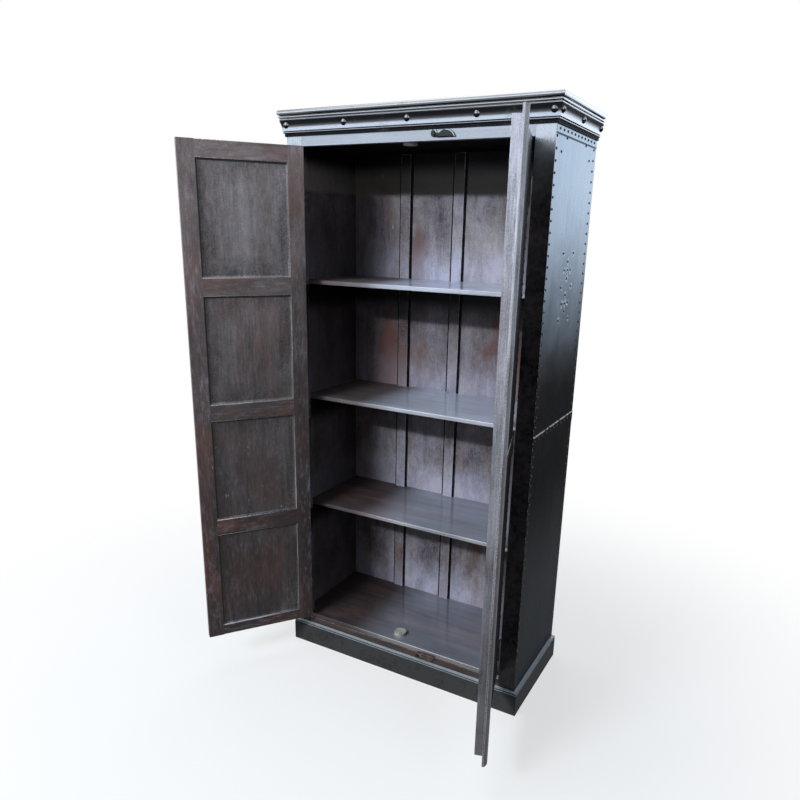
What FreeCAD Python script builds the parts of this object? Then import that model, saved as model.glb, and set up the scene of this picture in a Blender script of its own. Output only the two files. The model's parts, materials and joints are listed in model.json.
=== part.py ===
import FreeCAD, Part
import math
import os
import types

# A tall wooden cupboard clad in iron sheet, with two panelled doors, three shelves, a moulded cornice and
# a plinth. Millimetres, with X across the front, Y from the front face to the back, and Z up. The origin
# lies on the floor under the front plinth board, in the middle of the front face. The doors stand open.

SIZES = {
    # carcass
    "total_height": 1900,
    "carcass_width": 890,
    "carcass_depth": 398,
    "sheet_iron": 1,
    "side_wood": 17,
    "frame_wood": 22,
    "stile_width": 57,
    "frieze_drop": 29,
    "ceiling_rise": 7,
    "ceiling_wood": 18,
    "top_wood": 18,
    "floor_top": 125,
    "floor_wood": 18,
    # shelves and back
    "shelf_wood": 14,
    "shelf_setback": 50,
    "shelf_groove": 6,
    "lower_shelf_top": 567,
    "middle_shelf_top": 974,
    "upper_shelf_top": 1376,
    "back_setback": 28,
    "back_wood": 12,
    "batten_pitch": 208,
    "batten_width": 39,
    "batten_wood": 12,
    # plinth
    "plinth_height": 83,
    "plinth_wood": 14,
    "plinth_core": 10,
    "plinth_bead": 5.5,
    # cornice, from the top down
    "bullnose_height": 18,
    "bullnose_reach": 23,
    "bead_height": 8,
    "bead_reach": 19.5,
    "thin_bead_height": 6,
    "thin_bead_reach": 17,
    "crown_core": 13,
    "cove_height": 30,
    "cove_foot_reach": 10.5,
    "base_bead_height": 8,
    "base_bead_reach": 9,
    "base_fillet_height": 8,
    "base_fillet_reach": 5,
    "quirk": 1.2,
    # studs and nails
    "stud_radius": 8.5,
    "stud_sink": 2.5,
    "stud_rise": 17,
    "stud_inset": 6,
    "nail_radius": 4,
    "nail_pitch": 31,
    "nail_inset": 9,
    "back_nail_inset": 25,
    "seam_height": 964,
    "seam_lap": 34,
    "seam_nail_drop": 13,
    "seam_nail_pitch": 36,
    "band_height": 20,
    "band_nail_drop": 9,
    "band_nail_pitch": 35,
    "band_nail_inset": 30,
    "corner_nail_run": 44,
    "ornament_drop": 332,
    "ornament_row": 24.5,
    "ornament_half": 49,
    "ornament_waist": 29,
    # doors
    "hinge_gap": 3,
    "meeting_gap": 3,
    "door_top_gap": 2,
    "door_bottom_gap": 3,
    "door_proud": 0.5,
    "leaf_wood": 23,
    "door_stile": 51,
    "door_top_rail": 52,
    "door_middle_rail": 58,
    "door_bottom_rail": 40,
    "panel_wood": 9,
    "panel_inset": 8,
    "panel_tongue": 8,
    "panel_play": 0.5,
    "strip_width": 42,
    "strip_thick": 14,
    "strip_side": 5,
    "strip_over": 18,
    "sheet_margin": 2,
    "left_open_angle": 126,
    "right_open_angle": 106.5,
    # hinges
    "pin_out": 4.5,
    "pin_radius": 2,
    "pin_clearance": 0.05,
    "pin_head": 2,
    "pin_head_radius": 3,
    "knuckle_radius": 3.5,
    "knuckle_gap": 0.4,
    "hinge_height": 80,
    "hinge_leaf_iron": 1.2,
    "hinge_leaf_width": 18,
    "upper_hinge_inset": 140,
    "lower_hinge_inset": 95,
    # turn-buttons and stops
    "button_length": 67,
    "button_height": 21,
    "button_iron": 7,
    "button_eye": 10,
    "button_neck": 8,
    "button_drop": 11,
    "button_clearance": 0.9,
    "pivot_radius": 3,
    "pivot_head_radius": 6.5,
    "pivot_head": 3,
    "pivot_depth": 15,
    "upper_pivot_x": 86,
    "upper_pivot_rise": 18,
    "lower_pivot_x": 82,
    "lower_pivot_drop": 25,
    "stop_radius": 22,
    "stop_height": 12,
    "stop_clearance": 0.8,
    "stop_offset": 19,
    # cutters run this far past what they cut
    "overrun": 5,
}

NAIL_CAP_ANGLE = 30
SHELF_NAMES = ("lower", "middle", "upper")


class Size:
    """A size kept as a formula on the sheet together with its present value."""

    def __init__(self, formula, value):
        self.formula = formula
        self.value = value

    def __add__(self, other):
        return Size(f"({self.formula} + {other.formula})", self.value + other.value)

    def __sub__(self, other):
        return Size(f"({self.formula} - {other.formula})", self.value - other.value)

    def __neg__(self):
        return Size(f"(-1 * {self.formula})", -self.value)

    def __mul__(self, other):
        if isinstance(other, Size):
            return Size(f"({self.formula} * {other.formula})", self.value * other.value)
        return Size(f"({self.formula} * {other})", self.value * other)

    def __truediv__(self, other):
        if isinstance(other, Size):
            return Size(f"({self.formula} / {other.formula})", self.value / other.value)
        return Size(f"({self.formula} / {other})", self.value / other)


doc = FreeCAD.newDocument("cupboard")
sheet = doc.addObject("Spreadsheet::Sheet", "sizes")
for row, (name, number) in enumerate(SIZES.items(), start=1):
    sheet.set(f"A{row}", name)
    sheet.set(f"B{row}", str(number))
    sheet.setAlias(f"B{row}", name)
doc.recompute()

s = types.SimpleNamespace(**{name: Size(f"sizes.{name}", sheet.get(name)) for name in SIZES})
ZERO = Size("0", 0)
up = FreeCAD.Vector(0, 0, 1)
pieces = []


# Solids whose sizes and places follow the sheet

def tie(thing, sizes):
    for prop, size in sizes.items():
        thing.setExpression(prop, size.formula)


def seat(thing, x, y, z):
    tie(thing, {"Placement.Base.x": x, "Placement.Base.y": y, "Placement.Base.z": z})


def block(x, y, z):
    """A box between two places on each axis."""
    thing = doc.addObject("Part::Box", "Block")
    tie(thing, {"Length": x[1] - x[0], "Width": y[1] - y[0], "Height": z[1] - z[0]})
    seat(thing, x[0], y[0], z[0])
    return thing


def rod(radius, x, y, z):
    """A round bar along the one axis that is given as a pair of places."""
    thing = doc.addObject("Part::Cylinder", "Rod")
    start = [place[0] if isinstance(place, tuple) else place for place in (x, y, z)]
    if isinstance(x, tuple):
        ends = x
        thing.Placement.Rotation = FreeCAD.Rotation(FreeCAD.Vector(0, 1, 0), 90)
    elif isinstance(y, tuple):
        ends = y
        thing.Placement.Rotation = FreeCAD.Rotation(FreeCAD.Vector(1, 0, 0), -90)
    else:
        ends = z
    tie(thing, {"Radius": radius, "Height": ends[1] - ends[0]})
    seat(thing, *start)
    return thing


def ball(radius, x, y, z):
    thing = doc.addObject("Part::Sphere", "Ball")
    tie(thing, {"Radius": radius})
    seat(thing, x, y, z)
    return thing


def group(things):
    thing = doc.addObject("Part::Compound", "Group")
    thing.Links = list(things)
    return thing


def fuse(things):
    thing = doc.addObject("Part::MultiFuse", "Fused")
    thing.Shapes = list(things)
    thing.Refine = True
    return thing


def cut(base, tools):
    thing = doc.addObject("Part::Cut", "Cut")
    thing.Base = base
    thing.Tool = tools[0] if len(tools) == 1 else group(tools)
    thing.Refine = True
    return thing


def common(first, second):
    thing = doc.addObject("Part::Common", "Common")
    thing.Base = first
    thing.Tool = second
    thing.Refine = True
    return thing


def piece(label, thing):
    """Name a finished piece of the cupboard."""
    thing.Label = label
    pieces.append(thing)
    return thing


# Heights and faces that the pieces share

half_width = s.carcass_width / 2
wood_half = half_width - s.sheet_iron
inner_half = wood_half - s.side_wood
opening_half = half_width - s.stile_width
frame_back = s.sheet_iron + s.frame_wood
back_face = s.carcass_depth - s.back_setback
crown_height = s.bullnose_height + s.bead_height + s.thin_bead_height
crown_foot = s.total_height - crown_height
cove_foot = crown_foot - s.cove_height
cornice_foot = cove_foot - s.base_bead_height - s.base_fillet_height
opening_top = cornice_foot - s.frieze_drop
ceiling_foot = opening_top + s.ceiling_rise
frame_top = s.total_height - s.top_wood
floor_foot = s.floor_top - s.floor_wood
shelf_tops = {name: getattr(s, f"{name}_shelf_top") for name in SHELF_NAMES}
side_signs = {"left": -1, "right": 1}


def mirrored(sign, near, far):
    """A span across the cupboard on its right side, or the same span turned over to its left side."""
    if sign > 0:
        return (near, far)
    return (-far, -near)


# Turn-button pivots: where they stand and the holes that take them

pivot_places = {
    "upper": (s.upper_pivot_x, opening_top + s.upper_pivot_rise),
    "lower": (s.lower_pivot_x, s.floor_top - s.lower_pivot_drop),
}


def pivot_hole(name):
    x, z = pivot_places[name]
    return rod(s.pivot_radius + s.pin_clearance, x, (-s.overrun, s.pivot_depth), z)


# Carcass boards

for side, sign in side_signs.items():
    board = block(mirrored(sign, inner_half, wood_half), (frame_back, s.carcass_depth), (ZERO, frame_top))
    grooves = [block(mirrored(sign, inner_half - s.overrun, inner_half + s.shelf_groove),
                     (s.shelf_setback, back_face), (top - s.shelf_wood, top)) for top in shelf_tops.values()]
    piece(f"side_board_{side}", cut(board, grooves))
    piece(f"front_stile_{side}",
          block(mirrored(sign, opening_half, wood_half), (s.sheet_iron, frame_back), (ZERO, frame_top)))

opening = (-opening_half, opening_half)
inside = (-inner_half, inner_half)
piece("frieze_rail", cut(block(opening, (s.sheet_iron, frame_back), (opening_top, frame_top)),
                         [pivot_hole("upper")]))
rail_wood = fuse([block(opening, (s.sheet_iron, frame_back), (ZERO, floor_foot)),
                  block(opening, (ZERO, frame_back), (s.plinth_height, floor_foot))])
piece("bottom_rail", cut(rail_wood, [pivot_hole("lower")]))
floor_span = (floor_foot, s.floor_top)
piece("floor_board", fuse([block(inside, (frame_back, back_face), floor_span),
                           block(opening, (ZERO, frame_back), floor_span)]))
piece("ceiling_board", block(inside, (frame_back, back_face), (ceiling_foot, ceiling_foot + s.ceiling_wood)))
piece("top_board", block((-half_width, half_width), (ZERO, s.carcass_depth), (frame_top, s.total_height)))

# Back boards, and the battens that cover their joints

joints = [-s.batten_pitch, ZERO, s.batten_pitch]
edges = [-inner_half] + joints + [inner_half]
piece("back_boards", group(block((left, right), (back_face, back_face + s.back_wood), (ZERO, frame_top))
                           for left, right in zip(edges, edges[1:])))
batten_front = back_face - s.batten_wood


def batten(middle, foot, head):
    half = s.batten_width / 2
    return block((middle - half, middle + half), (batten_front, back_face), (foot, head))


piece("back_battens", group(batten(middle, s.floor_top, ceiling_foot) for middle in joints))

# Shelves, housed in the side boards and notched round the battens

for name, top in shelf_tops.items():
    reach = inner_half + s.shelf_groove
    board = block((-reach, reach), (s.shelf_setback, back_face), (top - s.shelf_wood, top))
    notches = [batten(middle, top - s.shelf_wood - s.overrun, top + s.overrun) for middle in joints]
    piece(f"shelf_{name}", cut(board, notches))

# Mouldings run along local X with their back at local Y zero and stand out towards minus Y.
# A face gives the place of the run's middle, its half length, its turn about Z and which ends are mitred.


def faces_of(half, depth, front):
    middle = (depth + front) / 2
    run = (depth - front) / 2
    return {
        "front": types.SimpleNamespace(x=ZERO, y=front, half=half, turn=0, mitres=(True, True)),
        "left": types.SimpleNamespace(x=-half, y=middle, half=run, turn=-90, mitres=(False, True)),
        "right": types.SimpleNamespace(x=half, y=middle, half=run, turn=90, mitres=(True, False)),
    }


def mitre_wedge(face, reach, foot, head):
    """The room between two mitre planes: longer at the outer face by the reach of the moulding."""
    thing = doc.addObject("Part::Wedge", "Mitre")
    left = -face.half
    right = face.half
    tie(thing, {
        "Xmin": left - reach if face.mitres[0] else left,
        "Xmax": right + reach if face.mitres[1] else right,
        "X2min": left, "X2max": right,
        "Ymin": -reach, "Ymax": ZERO,
        "Zmin": foot, "Zmax": head, "Z2min": foot, "Z2max": head,
    })
    return thing


def bead(run, reach, foot, height):
    """A half-round nose with a quirk above and below it."""
    radius = (height - s.quirk) / 2
    middle = foot + height / 2
    nose = -(reach - radius)
    return [block(run, (nose, ZERO), (middle - radius, middle + radius)), rod(radius, run, nose, middle)]


def moulding(label, face, reach, foot, head, layers):
    run = (-(face.half + reach + s.overrun), face.half + reach + s.overrun)
    thing = common(fuse(layers(run)), mitre_wedge(face, reach, foot, head))
    thing.Placement.Rotation = FreeCAD.Rotation(up, face.turn)
    seat(thing, face.x, face.y, ZERO)
    return piece(label, thing)


def plinth_layers(run):
    board_top = s.plinth_height - s.plinth_bead * 2
    return ([block(run, (-s.plinth_wood, ZERO), (ZERO, board_top)),
             block(run, (-s.plinth_core, ZERO), (ZERO, s.plinth_height))]
            + bead(run, s.plinth_wood, board_top, s.plinth_bead)
            + bead(run, s.plinth_wood, board_top + s.plinth_bead, s.plinth_bead))


def crown_layers(run):
    thin_top = crown_foot + s.thin_bead_height
    return ([block(run, (-s.crown_core, ZERO), (crown_foot, s.total_height))]
            + bead(run, s.thin_bead_reach, crown_foot, s.thin_bead_height)
            + bead(run, s.bead_reach, thin_top, s.bead_height)
            + bead(run, s.bullnose_reach, thin_top + s.bead_height, s.bullnose_height))


def cove_layers(run):
    flare = s.thin_bead_reach - s.cove_foot_reach
    radius = (flare * flare + s.cove_height * s.cove_height) / (flare * 2)
    hollow = rod(radius, run, -(s.cove_foot_reach + radius), cove_foot)
    cove = cut(block(run, (-s.thin_bead_reach, ZERO), (cove_foot, crown_foot)), [hollow])
    bead_foot = cornice_foot + s.base_fillet_height
    return ([cove, block(run, (-s.base_fillet_reach, ZERO), (cornice_foot, cove_foot))]
            + bead(run, s.base_bead_reach, bead_foot, s.base_bead_height))


for side, face in faces_of(wood_half, s.carcass_depth, s.sheet_iron).items():
    moulding(f"plinth_{side}", face, s.plinth_wood, ZERO, s.plinth_height, plinth_layers)
coves = []
for side, face in faces_of(half_width, s.carcass_depth, ZERO).items():
    moulding(f"crown_{side}", face, s.bullnose_reach, crown_foot, s.total_height, crown_layers)
    coves.append(moulding(f"cove_{side}", face, s.thin_bead_reach, cornice_foot, crown_foot, cove_layers))

# Large studs in the cove: five in front, three on each side, each seated against the hollow

stud_z = cove_foot + s.stud_rise
stud_out = s.cove_foot_reach - s.stud_sink + s.quirk
stud_x = half_width - s.stud_inset
studs = [ball(s.stud_radius, x, -stud_out, stud_z) for x in (-stud_x, -stud_x / 2, ZERO, stud_x / 2, stud_x)]
for x in (-(half_width + stud_out), half_width + stud_out):
    for y in (s.stud_inset, s.carcass_depth / 2, s.carcass_depth - s.stud_inset - s.stud_radius / 2):
        studs.append(ball(s.stud_radius, x, y, stud_z))
piece("cornice_studs", cut(group(studs), coves))

# Iron sheets. The lower sheet of each side laps over the upper one along a joggled seam.

seam_foot = s.seam_height - s.seam_lap
seam_middle = s.seam_height - s.seam_lap / 2


def lapped(x, y, step_x, step_y, foot):
    """The lower sheet of a lapped pair, with its upper margin stepped out over the upper sheet."""
    return fuse([block(x, y, (foot, seam_middle)), block(step_x, step_y, (seam_foot, s.seam_height))])


for side, sign in side_signs.items():
    skin = mirrored(sign, wood_half, half_width)
    proud = mirrored(sign, half_width, half_width + s.sheet_iron)
    deep = (s.sheet_iron, s.carcass_depth)
    piece(f"upper_sheet_{side}", block(skin, deep, (seam_middle, frame_top)))
    piece(f"lower_sheet_{side}", lapped(skin, deep, proud, deep, s.plinth_height))
    piece(f"stile_sheet_{side}",
          block(mirrored(sign, opening_half, half_width), (ZERO, s.sheet_iron), (s.plinth_height, frame_top)))
piece("band_sheets", group(
    block(mirrored(sign, half_width, half_width + s.sheet_iron), (ZERO, s.carcass_depth),
          (cornice_foot - s.band_height, cornice_foot)) for sign in side_signs.values()))
piece("frieze_sheet", cut(block(opening, (ZERO, s.sheet_iron), (opening_top, frame_top)),
                          [pivot_hole("upper")]))

# Domed nails: groups of low caps, each with its flat back on the sheet


def spread(first, last, pitch):
    """Places from first to last at about the given pitch."""
    count = max(1, round((last - first) / pitch))
    return [first + (last - first) * step / count for step in range(count + 1)]


def nail_caps(places, outward):
    """Caps at the given points, all facing the same way."""
    ball_radius = s.nail_radius.value / math.cos(math.radians(NAIL_CAP_ANGLE))
    flat = ball_radius * math.sin(math.radians(NAIL_CAP_ANGLE))
    cap = Part.makeSphere(ball_radius, FreeCAD.Vector(0, 0, -flat), up, NAIL_CAP_ANGLE, 90, 360)
    turn = FreeCAD.Rotation(up, outward)
    caps = []
    for place in places:
        turned = cap.copy()
        turned.Placement = FreeCAD.Placement(place, turn)
        caps.append(turned)
    return caps


def clear_of_seam(height):
    margin = s.nail_radius.value * 2
    return height < seam_foot.value - margin or height > s.seam_height.value + margin


def ornament(middle, top):
    """Nine rows of a double hourglass: corners, single nails, a waist of three, and the same again below."""
    half = s.ornament_half.value
    waist = s.ornament_waist.value
    rows = [(-half, half), (0,), (-waist, 0, waist), (0,)] * 2 + [(-half, half)]
    return [(middle + across, top - row * s.ornament_row.value)
            for row, line in enumerate(rows) for across in line]


def nail_group(label, caps):
    thing = doc.addObject("Part::Feature", "Nails")
    thing.Shape = Part.Compound(caps)
    return piece(label, thing)


ornament_top = cornice_foot.value - s.ornament_drop.value
band_foot = cornice_foot.value - s.band_height.value
edge_span = (s.plinth_height.value + s.nail_inset.value * 2, band_foot - s.nail_inset.value)
seam_nail_z = s.seam_height.value - s.seam_nail_drop.value
for side, sign in side_signs.items():
    depth = s.carcass_depth.value
    front_row = s.sheet_iron.value + s.nail_inset.value
    back_row = depth - s.back_nail_inset.value
    on_skin = [(row, height) for row in (front_row, back_row)
               for height in spread(*edge_span, s.nail_pitch.value) if clear_of_seam(height)]
    on_skin += ornament(depth / 2, ornament_top)
    run = s.corner_nail_run.value
    high = band_foot - s.nail_radius.value * 3 / 2
    on_skin += [(front_row + run, band_foot - run), (front_row + run * 2, high)]
    on_skin += [(back_row - run, band_foot - run), (back_row - run * 2, high)]
    on_proud = [(row, seam_nail_z) for row in spread(front_row, back_row, s.seam_nail_pitch.value)]
    first = s.band_nail_inset.value
    band_z = cornice_foot.value - s.band_nail_drop.value
    on_proud += [(row, band_z) for row in spread(first, depth - first, s.band_nail_pitch.value)]
    outward = FreeCAD.Vector(sign, 0, 0)
    skin = half_width.value
    proud = skin + s.sheet_iron.value
    places = [FreeCAD.Vector(sign * skin, y, z) for y, z in on_skin]
    places += [FreeCAD.Vector(sign * proud, y, z) for y, z in on_proud]
    nail_group(f"side_nails_{side}", nail_caps(places, outward))

# Doors. Each is laid out from its pin: X runs to the meeting edge, Y inwards when the door is shut.

leaf_near = s.hinge_gap / 2
leaf_far = opening_half - s.hinge_gap / 2 - s.meeting_gap / 2
leaf_foot = s.floor_top + s.door_bottom_gap
leaf_head = opening_top - s.door_top_gap
face_y = s.pin_out - s.door_proud
wood_y = face_y + s.sheet_iron
inner_y = wood_y + s.leaf_wood
panel_y = (inner_y - s.panel_inset - s.panel_wood, inner_y - s.panel_inset)
leaf_y = (wood_y, inner_y)
bay_near = leaf_near + s.door_stile
bay_far = leaf_far - s.door_stile
tongue_near = bay_near - s.panel_tongue
tongue_far = bay_far + s.panel_tongue
rails_height = s.door_top_rail + s.door_middle_rail * 3 + s.door_bottom_rail
panel_height = (leaf_head - leaf_foot - rails_height) / 4
panel_pitch = panel_height + s.door_middle_rail
panel_feet = [leaf_foot + s.door_bottom_rail + panel_pitch * step for step in range(4)]
meeting_x = leaf_far + s.meeting_gap / 2
pin_x = opening_half - s.hinge_gap / 2
hinge_heights = (leaf_foot + s.lower_hinge_inset,
                 (leaf_foot + s.lower_hinge_inset + leaf_head - s.upper_hinge_inset) / 2,
                 leaf_head - s.upper_hinge_inset)
doors = {
    "left": types.SimpleNamespace(sign=1, pin=-pin_x, axis=-up, angle=s.left_open_angle),
    "right": types.SimpleNamespace(sign=-1, pin=pin_x, axis=up, angle=s.right_open_angle),
}


def hang(label, door, thing):
    """Stand a door piece at its pin, swung open by the door's angle."""
    thing.Placement = FreeCAD.Placement(FreeCAD.Vector(), FreeCAD.Rotation(door.axis, door.angle.value))
    seat(thing, door.pin, -s.pin_out, ZERO)
    tie(thing, {"Placement.Rotation.Angle": door.angle})
    return piece(label, thing)


def rail(door, foot, head, grooved_below, grooved_above):
    """A rail with tongues in the stiles' grooves and a groove for each panel beside it."""
    tongue = mirrored(door.sign, tongue_near, tongue_far)
    whole = fuse([block(mirrored(door.sign, bay_near, bay_far), leaf_y, (foot, head)),
                  block(tongue, panel_y, (foot, head))])
    past = mirrored(door.sign, tongue_near - s.overrun, tongue_far + s.overrun)
    grooves = []
    if grooved_below:
        grooves.append(block(past, panel_y, (foot - s.overrun, foot + s.panel_tongue)))
    if grooved_above:
        grooves.append(block(past, panel_y, (head - s.panel_tongue, head + s.overrun)))
    return cut(whole, grooves)


def door_frame(side, door):
    past = (leaf_foot - s.overrun, leaf_head + s.overrun)
    for name, span, groove in (("hinge", (leaf_near, bay_near), (tongue_near, bay_near + s.overrun)),
                               ("meeting", (bay_far, leaf_far), (bay_far - s.overrun, tongue_far))):
        stile = block(mirrored(door.sign, *span), leaf_y, (leaf_foot, leaf_head))
        hang(f"{side}_door_{name}_stile", door,
             cut(stile, [block(mirrored(door.sign, *groove), panel_y, past)]))
    hang(f"{side}_door_bottom_rail", door,
         rail(door, leaf_foot, leaf_foot + s.door_bottom_rail, False, True))
    hang(f"{side}_door_middle_rails", door,
         group(rail(door, foot - s.door_middle_rail, foot, True, True) for foot in panel_feet[1:]))
    hang(f"{side}_door_top_rail", door, rail(door, leaf_head - s.door_top_rail, leaf_head, True, False))
    grip = s.panel_tongue - s.panel_play
    hang(f"{side}_door_panels", door,
         group(block(mirrored(door.sign, bay_near - grip, bay_far + grip), panel_y,
                     (foot - grip, foot + panel_height + grip)) for foot in panel_feet))


def door_cladding(side, door, sheet_far, lap_far):
    """Two lapped sheets on the outer face, with nails along both edges, the seam and the ornament.
    The lap keeps clear of the hinge knuckles and of the closing strip."""
    across = mirrored(door.sign, leaf_near, sheet_far)
    lap = mirrored(door.sign, leaf_near + s.knuckle_radius * 2, lap_far)
    skin_y = (face_y, wood_y)
    upper = block(across, skin_y, (seam_middle, leaf_head))
    lower = lapped(across, skin_y, lap, (face_y - s.sheet_iron, face_y), leaf_foot)
    hang(f"{side}_door_sheets", door, group([upper, lower]))
    near = leaf_near.value + s.knuckle_radius.value * 2 + s.nail_inset.value
    far = lap_far.value - s.nail_inset.value
    span = (leaf_foot.value + s.nail_inset.value, leaf_head.value - s.nail_inset.value)
    on_skin = [(row, height) for row in (near, far)
               for height in spread(*span, s.nail_pitch.value) if clear_of_seam(height)]
    on_skin += ornament((near + far) / 2, ornament_top)
    on_lap = [(row, seam_nail_z) for row in spread(near, far, s.seam_nail_pitch.value)]
    places = [FreeCAD.Vector(door.sign * x, face_y.value, z) for x, z in on_skin]
    places += [FreeCAD.Vector(door.sign * x, face_y.value - s.sheet_iron.value, z) for x, z in on_lap]
    nails = doc.addObject("Part::Feature", "Nails")
    nails.Shape = Part.Compound(nail_caps(places, FreeCAD.Vector(0, -1, 0)))
    hang(f"{side}_door_nails", door, nails)


def closing_strip(door):
    """A strip with a rounded face over the meeting edges, longer than the door at both ends."""
    half = s.strip_width / 2
    crown = s.strip_thick - s.strip_side
    radius = crown / 2 + s.strip_width * s.strip_width / (crown * 8)
    span = (leaf_foot - s.strip_over, leaf_head + s.strip_over)
    across = mirrored(door.sign, meeting_x - half, meeting_x + half)
    blank = block(across, (face_y - s.strip_thick, face_y), span)
    middle = meeting_x if door.sign > 0 else -meeting_x
    return common(blank, rod(radius, middle, face_y - s.strip_thick + radius, span))


# Butt hinges: two knuckles on the frame's leaf, one between them on the door's leaf, and a headed pin

knuckle_height = s.hinge_height / 3
bore = s.pin_radius + s.pin_clearance


def hinge_leaf(x, plate_y, bridge_y, axis_x, axis_y, middle, knuckles):
    """A plate with its knuckles, bored for the pin."""
    half = s.hinge_height / 2
    parts = [block(x, plate_y, (middle - half, middle + half))]
    for foot, head in knuckles:
        parts.append(rod(s.knuckle_radius, axis_x, axis_y, (foot, head)))
        parts.append(block(x, bridge_y, (foot, head)))
    past = (middle - half - s.overrun, middle + half + s.overrun)
    return cut(fuse(parts), [rod(bore, axis_x, axis_y, past)])


def outer_knuckles(middle):
    inner = knuckle_height / 2 + s.knuckle_gap / 2
    outer = s.hinge_height / 2
    return [(middle - outer, middle - inner), (middle + inner, middle + outer)]


def inner_knuckle(middle):
    half = knuckle_height / 2 - s.knuckle_gap / 2
    return [(middle - half, middle + half)]


def hinge_pin(x, middle):
    half = s.hinge_height / 2
    top = middle + half
    return fuse([rod(s.pin_radius, x, -s.pin_out, (middle - half, top + s.pin_head)),
                 rod(s.pin_head_radius, x, -s.pin_out, (top, top + s.pin_head))])


frame_leaves = []
pins = []
for sign in side_signs.values():
    plate_x = mirrored(sign, opening_half - s.hinge_leaf_iron, opening_half)
    pin = pin_x if sign > 0 else -pin_x
    for middle in hinge_heights:
        frame_leaves.append(hinge_leaf(plate_x, (ZERO, s.hinge_leaf_width), (-s.pin_out, ZERO),
                                       pin, -s.pin_out, middle, outer_knuckles(middle)))
        pins.append(hinge_pin(pin, middle))
piece("hinge_frame_leaves", group(frame_leaves))
piece("hinge_pins", group(pins))

for side, door in doors.items():
    door_frame(side, door)
    lap_far = leaf_far - (s.strip_width / 2 - s.meeting_gap / 2 + s.sheet_margin)
    door_cladding(side, door, lap_far if side == "left" else leaf_far, lap_far)
    plate_x = mirrored(door.sign, leaf_near - s.hinge_leaf_iron, leaf_near)
    plate_y = (face_y, face_y + s.hinge_leaf_width)
    hang(f"{side}_door_hinge_leaves", door,
         group(hinge_leaf(plate_x, plate_y, (ZERO, face_y), ZERO, ZERO, middle, inner_knuckle(middle))
               for middle in hinge_heights))
hang("closing_strip", doors["right"], closing_strip(doors["right"]))

# Turn-buttons: an eye on the pivot and a half-moon grip, straight on the side next to the door

button_y = (-(s.button_clearance + s.button_iron), -s.button_clearance)


def turn_button(name, sign):
    """The upper one has its straight side below, the lower one above."""
    x, z = pivot_places[name]
    chord = s.button_length - s.button_eye
    radius = s.button_height / 2 + chord * chord / (s.button_height * 8)
    crown = s.button_height - s.button_drop
    flat = z - s.button_drop if sign > 0 else z + s.button_drop
    top = z + crown if sign > 0 else z - crown
    middle = top - radius if sign > 0 else top + radius
    span = (flat, top) if sign > 0 else (top, flat)
    grip = common(block((x, x + s.button_length), button_y, span),
                  rod(radius, x + s.button_eye + chord / 2, button_y, middle))
    thin = s.button_neck / 2
    neck_z = (z - s.button_neck, z + thin) if sign > 0 else (z - thin, z + s.button_neck)
    neck = block((x, x + s.button_eye * 2), button_y, neck_z)
    past = (button_y[0] - s.overrun, button_y[1] + s.overrun)
    return cut(fuse([rod(s.button_eye, x, button_y, z), neck, grip]),
               [rod(s.pivot_radius + s.pin_clearance, x, past, z)])


def button_pivot(name):
    x, z = pivot_places[name]
    shoulder = button_y[0] - s.knuckle_gap
    return fuse([rod(s.pivot_radius, x, (shoulder - s.pivot_head, s.pivot_depth), z),
                 rod(s.pivot_head_radius, x, (shoulder - s.pivot_head, shoulder), z)])


piece("upper_turn_button", turn_button("upper", 1))
piece("lower_turn_button", turn_button("lower", -1))
piece("turn_button_pivots", group(button_pivot(name) for name in pivot_places))

# Round stops behind the left door's meeting edge, on the floor and under the ceiling

stop_y = inner_y - s.pin_out + s.stop_clearance + s.stop_radius
piece("door_stops", group(
    rod(s.stop_radius, -s.stop_offset, stop_y, span)
    for span in ((s.floor_top, s.floor_top + s.stop_height), (ceiling_foot - s.stop_height, ceiling_foot))))

# Build, check and write

doc.recompute()
for thing in doc.Objects:
    if "Invalid" in thing.State or "Error" in thing.State:
        raise RuntimeError(f"{thing.Label} did not build: {thing.State}")
for thing in pieces:
    if thing.Shape.isNull() or not thing.Shape.isValid():
        raise RuntimeError(f"{thing.Label} has no valid shape")
os.makedirs("parts", exist_ok=True)
for thing in pieces:
    thing.Shape.exportStep(f"parts/{thing.Label}.step")
print(len(pieces), "pieces")
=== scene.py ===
# %% [markdown]
# # An iron-clad cupboard
# The cupboard is a dark wooden carcass with black iron sheet nailed over it and two panelled doors that
# stand open. Its construction comes ready made, as a frame of solids at their real size. This lesson
# dresses that frame: boards get worn arrises, nails get domed heads, and every surface gets a finish of
# shader nodes. No solid is moved, so doors and buttons still turn on their pins.

# %% Load the frame
import json
import math
import random

import bmesh
import bpy
from mathutils import Matrix, Vector, noise


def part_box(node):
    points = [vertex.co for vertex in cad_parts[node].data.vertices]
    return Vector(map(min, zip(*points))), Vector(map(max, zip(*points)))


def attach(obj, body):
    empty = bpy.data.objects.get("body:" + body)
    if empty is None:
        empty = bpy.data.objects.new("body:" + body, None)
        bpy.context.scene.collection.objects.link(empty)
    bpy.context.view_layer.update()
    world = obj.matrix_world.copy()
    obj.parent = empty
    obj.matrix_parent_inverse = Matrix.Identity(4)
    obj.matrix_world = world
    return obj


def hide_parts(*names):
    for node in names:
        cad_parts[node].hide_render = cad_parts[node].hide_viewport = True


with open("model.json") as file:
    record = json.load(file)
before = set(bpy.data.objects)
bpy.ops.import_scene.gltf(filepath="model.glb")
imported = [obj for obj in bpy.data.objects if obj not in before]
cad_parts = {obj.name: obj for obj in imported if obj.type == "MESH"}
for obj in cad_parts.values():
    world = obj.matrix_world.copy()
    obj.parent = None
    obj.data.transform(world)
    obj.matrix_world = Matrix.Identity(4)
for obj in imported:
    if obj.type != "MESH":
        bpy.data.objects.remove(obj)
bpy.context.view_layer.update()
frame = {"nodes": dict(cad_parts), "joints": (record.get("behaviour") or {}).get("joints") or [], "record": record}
scene = bpy.context.scene
scene.view_settings.view_transform = "Standard"

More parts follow.
